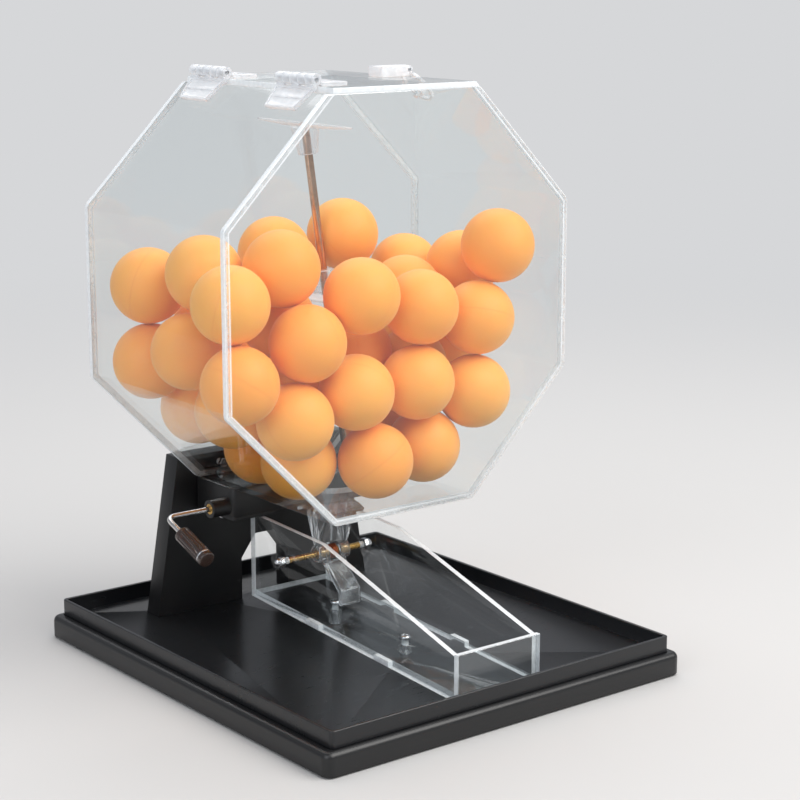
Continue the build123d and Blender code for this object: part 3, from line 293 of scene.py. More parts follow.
@dataclass(frozen=True)
class ClearSheet:
    """Polished clear sheet with sawn and flame-polished edges; the light that its edges gather is a painted
    highlight, white on the rim faces and, with an outline, white lines along the border.
    """

    name: str
    normal: SheetNormal
    outline: bool = False
    apothem: float = 0.110
    middle: float = 0.200
    mirror: float = 0.55
    edge_highlight_colour: tuple = srgb(244, 249, 252)
    clear_colour: tuple = (0.975, 0.985, 0.985, 1.0)
    # Distances in metres from the outline's border of the painted highlight lines and band, each from no line
    # to a full one.
    outer_highlight_line: tuple[float, float] = (0.0011, 0.0003)
    inner_highlight_line: tuple[tuple[float, float], tuple[float, float]] = ((0.0020, 0.0026), (0.0036, 0.0029))
    highlight_band: tuple[float, float] = (0.0034, 0.0026)

    def painted_edge_highlight(self, graph: Graph) -> Wire:
        """How much of a point's face is painted white as an edge highlight.

        Args:
            graph: The material's tree.

        Returns:
            Share from zero to one.
        """
        facing = graph.axes(graph.node("ShaderNodeNewGeometry", {}, {}, "True Normal"))
        # Rim faces, whose normal lies along the sheet, take the painted edge highlight.
        if self.normal is SheetNormal.BENT:
            across = abs(facing[1])
            rim = across.step(0.6, 0.9)
        else:
            across = abs(facing[self.normal.value])
            rim = across.step(0.75, 0.45)
        if not self.outline:
            return rim
        # With an outline: painted highlight on the flat face inside the octagon's border, made of an outer
        # line, an inner line and a weaker band between them.
        x, _, z = graph.axes(graph.places)
        side, rise = abs(x), abs(z - self.middle)
        reach = side.higher(rise).higher((side + rise) * math.sqrt(0.5))
        inset = self.apothem - reach
        rising, falling = self.inner_highlight_line
        inner = inset.step(*rising) * inset.step(*falling)
        outer = inset.step(*self.outer_highlight_line)
        # Noise mottles the painted highlight band.
        cloud = graph.noise(330.0, 3.0).step(0.35, 0.65)
        middle = inset.step(*self.highlight_band) * (0.32 + cloud * 0.35)
        return (rim * 0.9).higher(outer).higher(inner * 0.95).higher(middle)

    def make(self) -> bpy.types.Material:
        """Build the material.

        Returns:
            The material.
        """
        graph = Graph(self.name)
        edge = self.painted_edge_highlight(graph)
        smear = graph.noise(22.0, 4.0)
        scratch = graph.noise(60.0, 2.0, graph.stretched((9.0, 1.0, 40.0))).step(0.7, 0.86)
        facing = graph.node("ShaderNodeLayerWeight", {}, {"Blend": 0.5}, "Facing")
        mirror = facing**4.5 * self.mirror + 0.04
        highlight_speckle = graph.noise(420.0, 2.0)
        # The painted edge highlight, mottled by noise, makes the sheet less see-through along its edges.
        cover = (mirror + scratch * 0.03 + edge * (0.5 + highlight_speckle * 0.3)).clamped()
        surface = graph.principled(
            {
                # Painted highlight: along the edge mask the colour turns white and the surface turns from
                # mirror to diffuse.
                "Base Color": graph.blend(edge, (0.95, 0.97, 0.98, 1.0), self.edge_highlight_colour),
                "Metallic": (1.0 - edge * 0.95).clamped(),
                "Roughness": (0.025 + smear * 0.04 + edge * 0.16).clamped(),
                "Normal": graph.bump(graph.noise(7.0, 2.0), 0.0002, 0.2),
            }
        )
        clear = graph.node("ShaderNodeBsdfTransparent", {}, {"Color": self.clear_colour})
        return graph.finish(graph.node("ShaderNodeMixShader", {}, {0: cover, 1: clear, 2: surface}))


@dataclass(frozen=True)
class ClearMoulding:
    """Injection-moulded clear plastic: it bends light and has soft flow marks."""

    name: str
    colour: tuple = (0.96, 0.98, 1.0, 1.0)
    roughness: float = 0.05

    def make(self) -> bpy.types.Material:
        """Build the material.

        Returns:
            The material.
        """
        graph = Graph(self.name)
        flow = graph.noise(160.0, 3.0)
        frost = graph.noise(900.0, 2.0).step(0.55, 0.8)
        return graph.finish(
            graph.principled(
                {
                    "Base Color": self.colour,
                    "Roughness": (flow * 0.06 + self.roughness + frost * 0.05).clamped(),
                    "IOR": 1.47,
                    "Transmission Weight": 0.94,
                    "Normal": graph.bump(flow, 0.0002, 0.35),
                }
            )
        )


@dataclass(frozen=True)
class MilkyMoulding:
    """Small clear moulding that looks milky where it turns away or is thick."""

    name: str
    milk: float
    glow: float = 0.75
    roughness: float = 0.14

    def make(self) -> bpy.types.Material:
        """Build the material.

        Returns:
            The material.
        """
        graph = Graph(self.name)
        facing = graph.node("ShaderNodeLayerWeight", {}, {"Blend": 0.5}, "Facing")
        flow = graph.noise(190.0, 3.0)
        cover = facing**1.6 * self.glow + flow.step(0.35, 0.75) * 0.1 + self.milk
        body = graph.principled(
            {
                "Base Color": graph.blend(flow, srgb(236, 239, 243), srgb(250, 251, 253)),
                "Roughness": (self.roughness + flow * 0.1).clamped(),
                "Subsurface Weight": 0.3,
                "Subsurface Radius": (1.0, 1.0, 1.0),
                "Subsurface Scale": 0.002,
                "Normal": graph.bump(flow, 0.00012, 0.4),
            }
        )
        clear = graph.node("ShaderNodeBsdfTransparent", {}, {"Color": (0.96, 0.97, 0.98, 1.0)})
        return graph.finish(graph.node("ShaderNodeMixShader", {}, {0: cover.clamped(), 1: clear, 2: body}))


@dataclass(frozen=True)
class BallShell:
    """Thin matte celluloid ball: light goes into its wall, and a seam runs round the middle."""

    name: str = "orange_ball_shell"
    shade: tuple = srgb(255, 162, 68)
    bright: tuple = srgb(255, 186, 88)

    def make(self) -> bpy.types.Material:
        """Build the material.

        Returns:
            The material.
        """
        graph = Graph(self.name)
        tint = graph.node("ShaderNodeAttribute", {"attribute_name": "ball_tint"}, {}, "Fac")
        cloud = graph.noise(55.0, 3.0)
        _, height, _ = graph.axes(graph.node("ShaderNodeUVMap", {}, {}))
        seam = abs(height - 0.5).step(0.011, 0.002)
        skin = graph.noise(3200.0, 2.0)
        colour = graph.blend((tint * 0.55 + cloud * 0.45).clamped(), self.shade, self.bright)
        colour = graph.blend(seam * 0.22, colour, srgb(238, 134, 56))
        return graph.finish(
            graph.principled(
                {
                    "Base Color": colour,
                    "Roughness": (0.46 + cloud * 0.14 - seam * 0.08).clamped(),
                    "Specular IOR Level": 0.35,
                    "Subsurface Weight": 0.35,
                    "Subsurface Radius": (1.0, 0.42, 0.16),
                    "Subsurface Scale": 0.006,
                    "Sheen Weight": 0.12,
                    "Sheen Roughness": 0.5,
                    "Normal": graph.bump(skin * 0.5 - seam * 0.8, 0.00004, 0.6),
                }
            )
        )


class Lay(Enum):
    """Which way the marks run on worked metal."""

    TURNED_X = (1.0, 0.05, 0.05)
    TURNED_Z = (0.05, 0.05, 1.0)
    EVEN = (1.0, 1.0, 1.0)


@dataclass(frozen=True)
class Metal:
    """Worked metal with fine tool marks and slight tarnish."""

    name: str
    colour: tuple
    tarnish: tuple
    roughness: float = 0.2
    lay: Lay = Lay.EVEN

    def make(self) -> bpy.types.Material:
        """Build the material.

        Returns:
            The material.
        """
        graph = Graph(self.name)
        marks = graph.noise(3800.0, 2.0, graph.stretched(self.lay.value))
        cloud = graph.noise(130.0, 3.0)
        return graph.finish(
            graph.principled(
                {
                    "Base Color": graph.blend(cloud.step(0.45, 0.8) * 0.6, self.colour, self.tarnish),
                    "Metallic": 1.0,
                    "Roughness": (self.roughness + (marks - 0.5) * 0.12 + cloud * 0.08).clamped(),
                    "Normal": graph.bump(marks, 0.00002, 0.4),
                }
            )
        )


@dataclass(frozen=True)
class SoftRubber:
    """Matt black rubber with a powdery bloom."""

    name: str = "foot_rubber"

    def make(self) -> bpy.types.Material:
        """Build the material.

        Returns:
            The material.
        """
        graph = Graph(self.name)
        bloom = graph.noise(240.0, 4.0)
        return graph.finish(
            graph.principled(
                {
                    "Base Color": graph.blend(bloom.step(0.4, 0.8), srgb(20, 20, 21), srgb(44, 43, 42)),
                    "Roughness": (0.72 + bloom * 0.18).clamped(),
                    "Normal": graph.bump(bloom, 0.00008, 0.5),
                }
            )
        )


@dataclass(frozen=True)
class GripSleeve:
    """Dark smoke-brown sleeve, glossy and a little see-through."""

    name: str = "grip_sleeve"

    def make(self) -> bpy.types.Material:
        """Build the material.

        Returns:
            The material.
        """
        graph = Graph(self.name)
        cloud = graph.noise(260.0, 3.0)
        return graph.finish(
            graph.principled(
                {
                    "Base Color": graph.blend(cloud, srgb(34, 22, 17), srgb(72, 52, 44)),
                    "Roughness": (0.16 + cloud * 0.12).clamped(),
                    "Coat Weight": 0.5,
                    "Coat Roughness": 0.08,
                    "Transmission Weight": 0.18,
                    "Normal": graph.bump(cloud, 0.0001, 0.3),
                }
            )
        )


class Palette:
    """The finishes of the whole object, made once."""

    def __init__(self) -> None:
        """Make every material."""
        self.base_plastic = MouldedPlastic("base_plastic", srgb(13, 13, 14), srgb(34, 35, 37), 0.36).make()
        self.tray_plastic = MouldedPlastic(
            "tray_plastic", srgb(15, 16, 18), srgb(40, 42, 46), roughness=0.3, grain=0.00002
        ).make()
        self.stand_plastic = MouldedPlastic("stand_plastic", srgb(9, 9, 10), srgb(26, 26, 28), 0.44).make()
        self.end_sheet = ClearSheet("clear_end_sheet", SheetNormal.Y, outline=True).make()
        self.bent_sheet = ClearSheet("clear_bent_sheet", SheetNormal.BENT).make()
        self.lid_sheet = ClearSheet("clear_lid_sheet", SheetNormal.Z).make()
        self.wall_sheet = ClearSheet("clear_wall_sheet", SheetNormal.X).make()
        self.floor_sheet = ClearSheet("clear_floor_sheet", SheetNormal.Z, mirror=0.3).make()
        self.stop_sheet = ClearSheet("clear_stop_sheet", SheetNormal.Y).make()
        self.moulding = ClearMoulding("clear_moulding").make()
        self.hinge_moulding = MilkyMoulding("milky_hinge_moulding", 0.2, 0.95).make()
        self.latch_moulding = MilkyMoulding("milky_latch_moulding", 0.42, 0.75).make()
        self.ring_moulding = MilkyMoulding("milky_ring_moulding", 0.3, 0.9).make()
        self.paddle_moulding = MilkyMoulding("milky_paddle_moulding", 0.04, 0.8, 0.08).make()
        self.lever_moulding = ClearMoulding("clear_lever_moulding", (0.93, 0.95, 0.97, 1.0), 0.08).make()
        self.ball = BallShell().make()
        self.steel = Metal("zinc_plated_steel", srgb(205, 207, 210), srgb(150, 150, 152), 0.2).make()
        self.rod_steel = Metal(
            "bright_rod_steel", srgb(214, 212, 210), srgb(150, 142, 136), roughness=0.14, lay=Lay.TURNED_X
        ).make()
        self.shaft_steel = Metal(
            "shaft_steel", srgb(212, 176, 150), srgb(150, 112, 88), roughness=0.16, lay=Lay.TURNED_Z
        ).make()
        self.brass = Metal("turned_brass", srgb(196, 158, 92), srgb(128, 92, 52), 0.22, Lay.TURNED_X).make()
        self.copper = Metal("coppered_wire", srgb(196, 118, 84), srgb(116, 66, 46), 0.26).make()
        self.rubber = SoftRubber().make()
        self.grip = GripSleeve().make()


# ---------------------------------------------------------------- modelling


def select_only(piece: bpy.types.Object) -> None:
    """Leave one object selected and active."""
    bpy.ops.object.select_all(action="DESELECT")
    piece.select_set(True)
    bpy.context.view_layer.objects.active = piece


def apply_place(piece: bpy.types.Object) -> None:
    """Move an object's place, turn and scale into its mesh."""
    select_only(piece)
    bpy.ops.object.transform_apply(location=True, rotation=True, scale=True)


def bevel_edges(piece: bpy.types.Object, width: float, segments: int = 2, angle: float = 35.0) -> None:
    """Round the sharp edges of a piece.

    Args:
        piece: The piece.
        width: Width of the rounding in metres.
        segments: Steps of the rounding.
        angle: Smallest angle between faces that is rounded, in degrees.
    """
    select_only(piece)
    modifier = piece.modifiers.new("soft_edges", "BEVEL")
    modifier.width = width
    modifier.segments = segments
    modifier.limit_method = "ANGLE"
    modifier.angle_limit = math.radians(angle)
    modifier.harden_normals = False
    modifier.use_clamp_overlap = True
    bpy.ops.object.modifier_apply(modifier=modifier.name)


def smooth(piece: bpy.types.Object, angle: float = 32.0) -> None:
    """Shade a piece smooth, except where its faces meet at more than an angle in degrees."""
    select_only(piece)
    bpy.ops.object.shade_smooth_by_angle(angle=math.radians(angle))


def merged_copy(node: str, name: str) -> bpy.types.Object:
    """Copy a CAD node's mesh and merge its doubled corners.

    Args:
        node: The CAD node.
        name: Name of the copy.

    Returns:
        The copy, left in edit mode with all of it selected.
    """
    copy = bpy.data.objects.new(name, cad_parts[node].data.copy())
    bpy.context.scene.collection.objects.link(copy)
    select_only(copy)
    bpy.ops.object.mode_set(mode="EDIT")
    bpy.ops.mesh.select_all(action="SELECT")
    bpy.ops.mesh.remove_doubles(threshold=MERGE_DISTANCE)
    return copy


def dress(
    piece: bpy.types.Object,
    name: str,
    body: str,
    material: bpy.types.Material,
    replaces: tuple[str, ...] = (),
) -> bpy.types.Object:
    """Give a finished piece its name, finish, body and the CAD nodes that it stands for.

    Args:
        piece: The piece, in place.
        name: Its name.
        body: The body that it moves with.
        material: Its finish.
        replaces: CAD nodes that it replaces.

    Returns:
        The piece.
    """
    apply_place(piece)
    piece.name = name
    piece.data.name = name
    piece.data.materials.clear()
    piece.data.materials.append(material)
    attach(piece, body)
    if replaces:
        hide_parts(*replaces)
    log.info("%s rides on %s, %d faces", name, body, len(piece.data.polygons))
    return piece


def refined(
    node: str,
    body: str,
    material: bpy.types.Material,
    bevel: float = 0.00025,
    angle: float = 32.0,
) -> bpy.types.Object:
    """Finish a CAD node: a merged copy with rounded edges and smooth curves takes its place.

    Args:
        node: The CAD node.
        body: The body that it moves with.
        material: Its finish.
        bevel: Rounding of its sharp edges in metres, or zero for none.
        angle: Largest angle that is shaded smooth, in degrees.

    Returns:
        The new piece.
    """
    piece = merged_copy(node, node + "_finished")
    bpy.ops.mesh.dissolve_limited(angle_limit=math.radians(FLAT_ANGLE))
    bpy.ops.object.mode_set(mode="OBJECT")
    if bevel:
        bevel_edges(piece, bevel)
    smooth(piece, angle)
    return dress(piece, node + "_finished", body, material, (node,))


def cylinder(radius: float, start: Vector, end: Vector, sides: int = 40) -> bpy.types.Object:
    """Add a round bar between two points, all in metres.

    Args:
        radius: Its radius.
        start: Centre of the first end.
        end: Centre of the other end.
        sides: Faces around it.

    Returns:
        The bar.
    """
    way = end - start
    turn = way.to_track_quat("Z", "Y").to_euler()
    bpy.ops.object.select_all(action="DESELECT")
    bpy.ops.mesh.primitive_cone_add(
        vertices=sides,
        radius1=radius,
        radius2=radius,
        depth=way.length,
        location=(start + end) / 2,
        rotation=turn,
    )
    return bpy.context.active_object


def joined(pieces: list[bpy.types.Object]) -> bpy.types.Object:
    """Join several objects into the first one."""
    bpy.ops.object.select_all(action="DESELECT")
    for piece in pieces:
        piece.select_set(True)
    bpy.context.view_layer.objects.active = pieces[0]
    bpy.ops.object.join()
    return pieces[0]


def cut(piece: bpy.types.Object, tool: bpy.types.Object) -> None:
    """Cut one object out of another and remove the tool."""
    select_only(piece)
    modifier = piece.modifiers.new("cut", "BOOLEAN")
    modifier.operation = "DIFFERENCE"
    modifier.solver = "EXACT"
    modifier.object = tool
    bpy.ops.object.modifier_apply(modifier=modifier.name)
    bpy.data.objects.remove(tool)


@dataclass
class PanScrew:
    """A pan-head screw with a cross recess."""

    head_radius: float = 3.0 * MM
    head_height: float = 2.0 * MM
    shank_radius: float = 1.5 * MM
    recess_width: float = 0.75 * MM
    recess_span: float = 3.4 * MM
    soft_edge: float = 0.08 * MM
    # Shares of the head's height: how much of it is rounded, where the recess's middle lies, and its height.
    dome: float = 0.55
    recess_middle: float = 0.9
    recess_height: float = 1.1

    def build(self, seat: Vector, way: Vector, shank: float, turn: float) -> bpy.types.Object:
        """Model the screw in place.

        Args:
            seat: Centre of the face under its head, in metres.
            way: Direction that the head looks.
            shank: Length of its shank.
            turn: Turn of its recess about its axis, in degrees.

        Returns:
            The screw.
        """
        bpy.ops.object.select_all(action="DESELECT")
        bpy.ops.mesh.primitive_cylinder_add(
            vertices=32,
            radius=self.head_radius,
            depth=self.head_height,
            location=(0, 0, self.head_height / 2),
        )
        head = bpy.context.active_object
        bpy.ops.object.mode_set(mode="EDIT")
        bpy.ops.mesh.select_all(action="DESELECT")
        bpy.ops.object.mode_set(mode="OBJECT")
        for edge in head.data.edges:
            ends = [head.data.vertices[index].co.z for index in edge.vertices]
            edge.select = min(ends) > self.head_height / 2 - 1e-6
        bpy.ops.object.mode_set(mode="EDIT")
        bpy.ops.mesh.bevel(offset=self.head_height * self.dome, segments=5, affect="EDGES")
        bpy.ops.object.mode_set(mode="OBJECT")
        apply_place(head)
        for quarter in (0, 90):
            bpy.ops.object.select_all(action="DESELECT")
            bpy.ops.mesh.primitive_cube_add(
                size=1.0,
                location=(0, 0, self.head_height * self.recess_middle),
                rotation=(0, 0, math.radians(turn + quarter)),
            )
            bar = bpy.context.active_object
            bar.scale = (self.recess_span, self.recess_width, self.head_height * self.recess_height)
            cut(head, bar)
        bevel_edges(head, self.soft_edge, 1, 40)
        shaft = cylinder(self.shank_radius, Vector((0, 0, 0)), Vector((0, 0, -shank)), 20)
        whole = joined([head, shaft])
        whole.rotation_euler = way.to_track_quat("Z", "Y").to_euler()
        whole.location = seat
        apply_place(whole)
        smooth(whole, 30)
        return whole


# ---------------------------------------------------------------- sub-assemblies


@dataclass
class Base:
    """Plinth, rubber feet, tray and the arched stand."""

    palette: Palette
    soft_edge: float = 0.5 * MM

    def build(self) -> None:
        """Finish the base's pieces."""
        refined("plinth", "frame", self.palette.base_plastic, 0.3 * MM)
        refined("tray", "frame", self.palette.tray_plastic, 0.2 * MM)
        refined("stand", "frame", self.palette.stand_plastic, self.soft_edge)
        refined("rubber_feet", "frame", self.palette.rubber, 0.2 * MM)
        refined("stand_screws", "frame", self.palette.steel, 0.0)


@dataclass
class Drum:
    """Bent wrap, two end sheets and what fastens them."""

    palette: Palette
    screw_turns: tuple[float, float] = (12.0, 57.0)

    def build(self) -> None:
        """Finish the drum's pieces."""
        refined("drum_wrap", "frame", self.palette.bent_sheet, 0.0)
        refined("drum_front_panel", "frame", self.palette.end_sheet, 0.0)
        refined("drum_back_panel", "frame", self.palette.end_sheet, 0.0)
        refined("drum_nuts", "frame", self.palette.steel, 0.15 * MM)
        self.rear_screws()
        refined("floor_screws", "frame", self.palette.steel, 0.0)

    def rear_screws(self) -> None:
        """Model the two screws that hold the drum to the stand."""
        low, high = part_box("drum_screws")
        maker = PanScrew(head_height=LOW_HEAD)
        seat_y = high.y - maker.head_height
        made = []
        for x, turn in zip((low.x + maker.head_radius, high.x - maker.head_radius), self.screw_turns):
            seat = Vector((x, seat_y, (low.z + high.z) / 2))
            made.append(maker.build(seat, Vector((0, 1, 0)), seat_y - low.y, turn))
        dress(joined(made), "rear_pan_screws", "frame", self.palette.steel, ("drum_screws",))


@dataclass
class BallLoad:
    """The balls, each where its CAD solid lies."""

    palette: Palette
    radius: float = 20.0 * MM
    rings: int = 28
    sides: int = 48
    tint_step: float = 0.618034
    # Turn of each ball about x, y and z in radians: this much per ball before it, and a first tilt about y.
    turn_steps: tuple[float, float, float] = (2.4, 1.7, 0.9)
    first_tilt: float = 0.6

    def centres(self) -> list[Vector]:
        """Find the middle of each ball in the CAD node.

        Returns:
            Centres in metres.
        """
        merged_copy("balls", "ball_finder")
        bpy.ops.mesh.separate(type="LOOSE")
        bpy.ops.object.mode_set(mode="OBJECT")
        parts = list(bpy.context.selected_objects)
        found = []
        for part in parts:
            low = Vector([min(vertex.co[axis] for vertex in part.data.vertices) for axis in range(3)])
            high = Vector([max(vertex.co[axis] for vertex in part.data.vertices) for axis in range(3)])
            found.append((low + high) / 2)
        for part in parts:
            bpy.data.objects.remove(part)
        return sorted(found, key=lambda centre: (round(centre.y, 3), round(centre.x, 3), round(centre.z, 3)))

    def build(self) -> None:
        """Model one ball and copy it to every place."""
        bpy.ops.object.select_all(action="DESELECT")
        bpy.ops.mesh.primitive_uv_sphere_add(segments=self.sides, ring_count=self.rings, radius=self.radius)
        pattern = bpy.context.active_object
        smooth(pattern, 180)
        balls = []
        for index, centre in enumerate(self.centres()):
            ball = bpy.data.objects.new(f"ball_{index + 1:02d}", pattern.data.copy())
            bpy.context.scene.collection.objects.link(ball)
            share = (index * self.tint_step) % 1.0
            tint = ball.data.attributes.new("ball_tint", "FLOAT", "POINT")
            tint.data.foreach_set("value", [share] * len(ball.data.vertices))
            about_x, about_y, about_z = (step * index for step in self.turn_steps)
            ball.rotation_euler = (about_x, about_y + self.first_tilt, about_z)
            ball.location = centre
            apply_place(ball)
            balls.append(ball)
        bpy.data.objects.remove(pattern)
        dress(joined(balls), "orange_balls", "frame", self.palette.ball, ("balls",))


@dataclass
class GearDrive:
    """Gear housing under the drum, its bushes and the bevel gears inside."""

    palette: Palette
    fourth_screw_x: float = -10.0 * MM
    screw_turn_step: float = 31.0

    def build(self) -> None:
        """Finish the drive's pieces."""
        refined("gear_housing", "frame", self.palette.stand_plastic, 0.4 * MM)
        refined("gear_cover", "frame", self.palette.stand_plastic, 0.4 * MM)
        refined("axle_bushes", "frame", self.palette.brass, 0.2 * MM)
        refined("shaft_bush", "frame", self.palette.stand_plastic, 0.3 * MM)
        refined("crank_gear", "crank", self.palette.brass, 0.1 * MM)
        refined("shaft_gear", "agitator", self.palette.brass, 0.1 * MM)
        self.cover_screws()

    def cover_screws(self) -> None:
        """Model the screws under the housing's cover: three at corners of their box, one between."""
        low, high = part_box("cover_screws")
        maker = PanScrew(head_height=LOW_HEAD)
        inset = maker.head_radius
        seat_z = low.z + maker.head_height
        left, right, near, far = low.x + inset, high.x - inset, low.y + inset, high.y - inset
        made = []
        for index, (x, y) in enumerate(((left, near), (left, far), (right, far), (self.fourth_screw_x, far))):
            seat = Vector((x, y, seat_z))
            turn = self.screw_turn_step * index
            made.append(maker.build(seat, Vector((0, 0, -1)), high.z - seat_z, turn))
        steel = self.palette.steel
        dress(joined(made), "cover_pan_screws", "frame", steel, ("cover_screws",))


@dataclass
class Agitator:
    """Leaning shaft with two dished paddles."""

    palette: Palette

    def build(self) -> None:
        """Finish the agitator's pieces."""
        refined("agitator_shaft", "agitator", self.palette.shaft_steel, 0.2 * MM)
        refined("upper_paddle", "agitator", self.palette.paddle_moulding, 0.2 * MM)
        refined("lower_paddle", "agitator", self.palette.paddle_moulding, 0.2 * MM)


@dataclass
class Crank:
    """Bent rod, sleeve grip and the ring near its end."""

    palette: Palette
    droop: float = 20.0
    corner: Vector = field(default_factory=lambda: Vector((-84.0, 57.0, 79.5)) * MM)
    reach: float = 42.0 * MM
    grip_radius: float = 4.5 * MM
    ring_swell: float = 1.02
    # Distances of the ring's two faces from the arm's end.
    ring_faces: tuple[float, float] = (3.9 * MM, 2.9 * MM)

    def along(self, distance: float) -> Vector:
        """Point on the arm's line at a distance from the rod's corner."""
        angle = math.radians(self.droop)
        return self.corner + Vector((0, -math.cos(angle), -math.sin(angle))) * distance

    def build(self) -> None:
        """Finish the crank's pieces and add the ring."""
        refined("crank_rod", "crank", self.palette.rod_steel, 0.15 * MM)
        refined("crank_grip", "crank", self.palette.grip, 0.12 * MM)
        start, end = (self.along(self.reach - distance) for distance in self.ring_faces)
        ring = cylinder(self.grip_radius * self.ring_swell, start, end)
        bevel_edges(ring, 0.25 * MM, 3)
        smooth(ring)
        dress(ring, "grip_ring", "crank", self.palette.steel)


@dataclass
class Lid:
    """Flat lid, its two hinges and the loop latch."""

    palette: Palette

    def build(self) -> None:
        """Finish the pieces of the lid, hinges and latch."""
        refined("lid", "lid", self.palette.lid_sheet, 0.3 * MM)
        for place in ("front", "rear"):
            refined(f"{place}_hinge_fixed_leaf", "frame", self.palette.hinge_moulding, 0.15 * MM)
            refined(f"{place}_hinge_lid_leaf", "lid", self.palette.hinge_moulding, 0.15 * MM)
        refined("hinge_pins", "frame", self.palette.steel, 0.1 * MM)
        refined("latch_block", "lid", self.palette.latch_moulding, 0.4 * MM)
        refined("latch_pin", "lid", self.palette.steel, 0.1 * MM)
        refined("latch_hasp", "hasp", self.palette.ring_moulding, 0.3 * MM)
        refined("latch_knob", "frame", self.palette.ring_moulding, 0.1 * MM)


@dataclass
class Chute:
    """Sheet chute that runs from under the gate to the front stop. Its sizes are in millimetres."""

    palette: Palette
    screw_ys: tuple[float, float] = (20.0, -42.0)
    screw_turns: tuple[float, float] = (20.0, 70.0)
    front: float = -118.0
    rear: float = 62.0
    front_bottom: float = 13.0
    rear_bottom: float = 23.4
    sheet: float = 3.0
    head_lift: float = 0.2

    def seat(self, y: float) -> float:
        """Height of a screw head's seat on the sloping floor, in millimetres."""
        share = (y - self.front) / (self.rear - self.front)
        bottom = self.front_bottom + share * (self.rear_bottom - self.front_bottom)
        return bottom + self.sheet + self.head_lift

    def build(self) -> None:
        """Finish the chute's pieces and model its screws."""
        refined("chute_left_wall", "frame", self.palette.wall_sheet, 0.25 * MM)
        refined("chute_right_wall", "frame", self.palette.wall_sheet, 0.25 * MM)
        refined("chute_floor", "frame", self.palette.floor_sheet, 0.25 * MM)
        refined("chute_stop", "frame", self.palette.stop_sheet, 0.0)
        refined("chute_spacers", "frame", self.palette.moulding, 0.2 * MM)
        refined("chute_nuts", "frame", self.palette.steel, 0.15 * MM)
        low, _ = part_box("chute_screws")
        maker = PanScrew()
        made = []
        for y, turn in zip(self.screw_ys, self.screw_turns):
            seat = Vector((0, y * MM, self.seat(y) * MM))
            made.append(maker.build(seat, Vector((0, 0, 1)), seat.z - low.z, turn))
        steel = self.palette.steel
        dress(joined(made), "chute_pan_screws", "frame", steel, ("chute_screws",))


@dataclass
class Gate:
    """Rocking gate on its cross rod, with sleeve, spring and cap nuts."""

    palette: Palette

    def build(self) -> None:
        """Finish the gate's pieces."""
        refined("gate_rod", "frame", self.palette.brass, 0.15 * MM)
        refined("rod_cap_nuts", "frame", self.palette.steel, 0.2 * MM)
        refined("gate_lever", "gate", self.palette.lever_moulding, 0.25 * MM)
        refined("gate_sleeve", "gate", self.palette.brass, 0.1 * MM)
        refined("gate_spring", "gate", self.palette.copper, 0.0)


# ---------------------------------------------------------------- studio


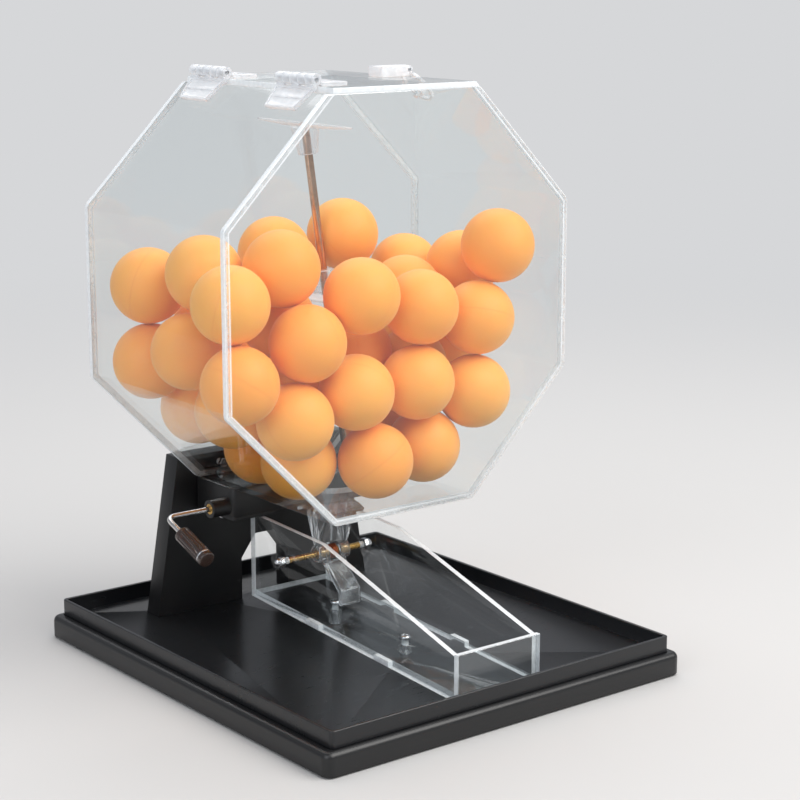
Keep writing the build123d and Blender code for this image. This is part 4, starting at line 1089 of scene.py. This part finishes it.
@dataclass
class Studio:
    """Pale floor, soft light and the camera."""

    camera_place: Vector = field(default_factory=lambda: Vector((-633.9, -844.3, 373.65)) * MM)
    yaw: float = 38.16
    pitch: float = 12.37
    lens: float = 91.68
    floor_radius: float = 9.0
    floor_colour: tuple = srgb(190, 189, 188)
    horizon_colour: tuple = srgb(214, 215, 217)
    # Distances from the object at which the floor starts to fade, and is all horizon.
    fade: tuple[float, float] = (0.35, 1.5)
    ambient_colour: tuple = (0.9, 0.93, 1.0, 1.0)
    ambient_strength: float = 0.42

    def floor(self) -> None:
        """Lay the floor."""
        bpy.ops.object.select_all(action="DESELECT")
        bpy.ops.mesh.primitive_circle_add(
            vertices=96, radius=self.floor_radius, fill_type="NGON", location=(0, 0, 0)
        )
        ground = bpy.context.active_object
        apply_place(ground)
        ground.name = "studio_floor"
        graph = Graph("studio_floor")
        tone = graph.noise(1.3, 2.0)
        colour = graph.blend(tone * 0.2, self.floor_colour, srgb(182, 181, 180))
        near = graph.principled({"Base Color": colour, "Roughness": 0.62, "Specular IOR Level": 0.25})
        reach = graph.node("ShaderNodeVectorMath", {"operation": "LENGTH"}, {0: graph.places}, "Value")
        seen = graph.node("ShaderNodeLightPath", {}, {}, "Is Camera Ray")
        path = seen.socket.node
        for name in ("Is Glossy Ray", "Is Transmission Ray"):
            seen = seen.higher(Wire(graph, path.outputs[name]))
        far = graph.node("ShaderNodeEmission", {}, {"Color": self.horizon_colour, "Strength": 1.0})
        share = reach.step(*self.fade) * seen
        mixed = graph.node("ShaderNodeMixShader", {}, {0: share, 1: near, 2: far})
        ground.data.materials.append(graph.finish(mixed))

    def world(self) -> None:
        """Set the plain surroundings."""
        world = bpy.data.worlds.new("studio_world")
        bpy.context.scene.world = world
        world.use_nodes = True
        tree = world.node_tree
        tree.nodes.clear()
        out = tree.nodes.new("ShaderNodeOutputWorld")
        seen = tree.nodes.new("ShaderNodeBackground")
        seen.inputs["Color"].default_value = self.horizon_colour
        seen.inputs["Strength"].default_value = 1.0
        lit = tree.nodes.new("ShaderNodeBackground")
        lit.inputs["Color"].default_value = self.ambient_colour
        lit.inputs["Strength"].default_value = self.ambient_strength
        path = tree.nodes.new("ShaderNodeLightPath")
        mix = tree.nodes.new("ShaderNodeMixShader")
        tree.links.new(path.outputs["Is Camera Ray"], mix.inputs[0])
        tree.links.new(lit.outputs[0], mix.inputs[1])
        tree.links.new(seen.outputs[0], mix.inputs[2])
        tree.links.new(mix.outputs[0], out.inputs[0])

    def lamp(self, name: str, place: tuple, aim: tuple, size: tuple, power: float, colour: tuple) -> None:
        """Hang one soft box.

        Args:
            name: Name of the lamp.
            place: Where it hangs, in metres.
            aim: Point that it faces.
            size: Width and height.
            power: Power in watts.
            colour: Colour of its light.
        """
        data = bpy.data.lights.new(name, "AREA")
        data.shape = "RECTANGLE"
        data.size, data.size_y = size
        data.energy = power
        data.color = colour
        lamp = bpy.data.objects.new(name, data)
        bpy.context.scene.collection.objects.link(lamp)
        lamp.location = place
        lamp.rotation_euler = (Vector(aim) - Vector(place)).to_track_quat("-Z", "Y").to_euler()

    def build(self) -> None:
        """Set up floor, light and camera."""
        self.floor()
        self.world()
        self.lamp("key_box", (0.7, -1.4, 1.9), (0, 0, 0.18), (2.4, 1.9), 74.0, (1.0, 0.98, 0.95))
        self.lamp("fill_box", (-1.9, -0.6, 1.1), (0, 0, 0.18), (1.6, 1.6), 18.0, (0.93, 0.96, 1.0))
        self.lamp("rear_box", (0.6, 1.2, 2.2), (0, 0, 0.2), (2.4, 1.6), 34.0, (1.0, 1.0, 1.0))
        data = bpy.data.cameras.new("photo_camera")
        data.lens = self.lens
        data.sensor_width = 36.0
        data.clip_start = 0.01
        data.clip_end = 60.0
        camera = bpy.data.objects.new("photo_camera", data)
        bpy.context.scene.collection.objects.link(camera)
        camera.location = self.camera_place
        camera.rotation_euler = Euler((math.radians(90 - self.pitch), 0, math.radians(-self.yaw)))
        bpy.context.scene.camera = camera
        bpy.context.scene.view_settings.view_transform = "Standard"


def main() -> None:
    """Build the object, sub-assembly by sub-assembly, and the studio."""
    logging.basicConfig(level=logging.INFO, format="%(message)s")
    palette = Palette()
    for group in (
        Base(palette),
        Drum(palette),
        BallLoad(palette),
        GearDrive(palette),
        Agitator(palette),
        Crank(palette),
        Lid(palette),
        Chute(palette),
        Gate(palette),
        Studio(),
    ):
        log.info("building %s", type(group).__name__)
        group.build()


if __name__ == "__main__":
    main()
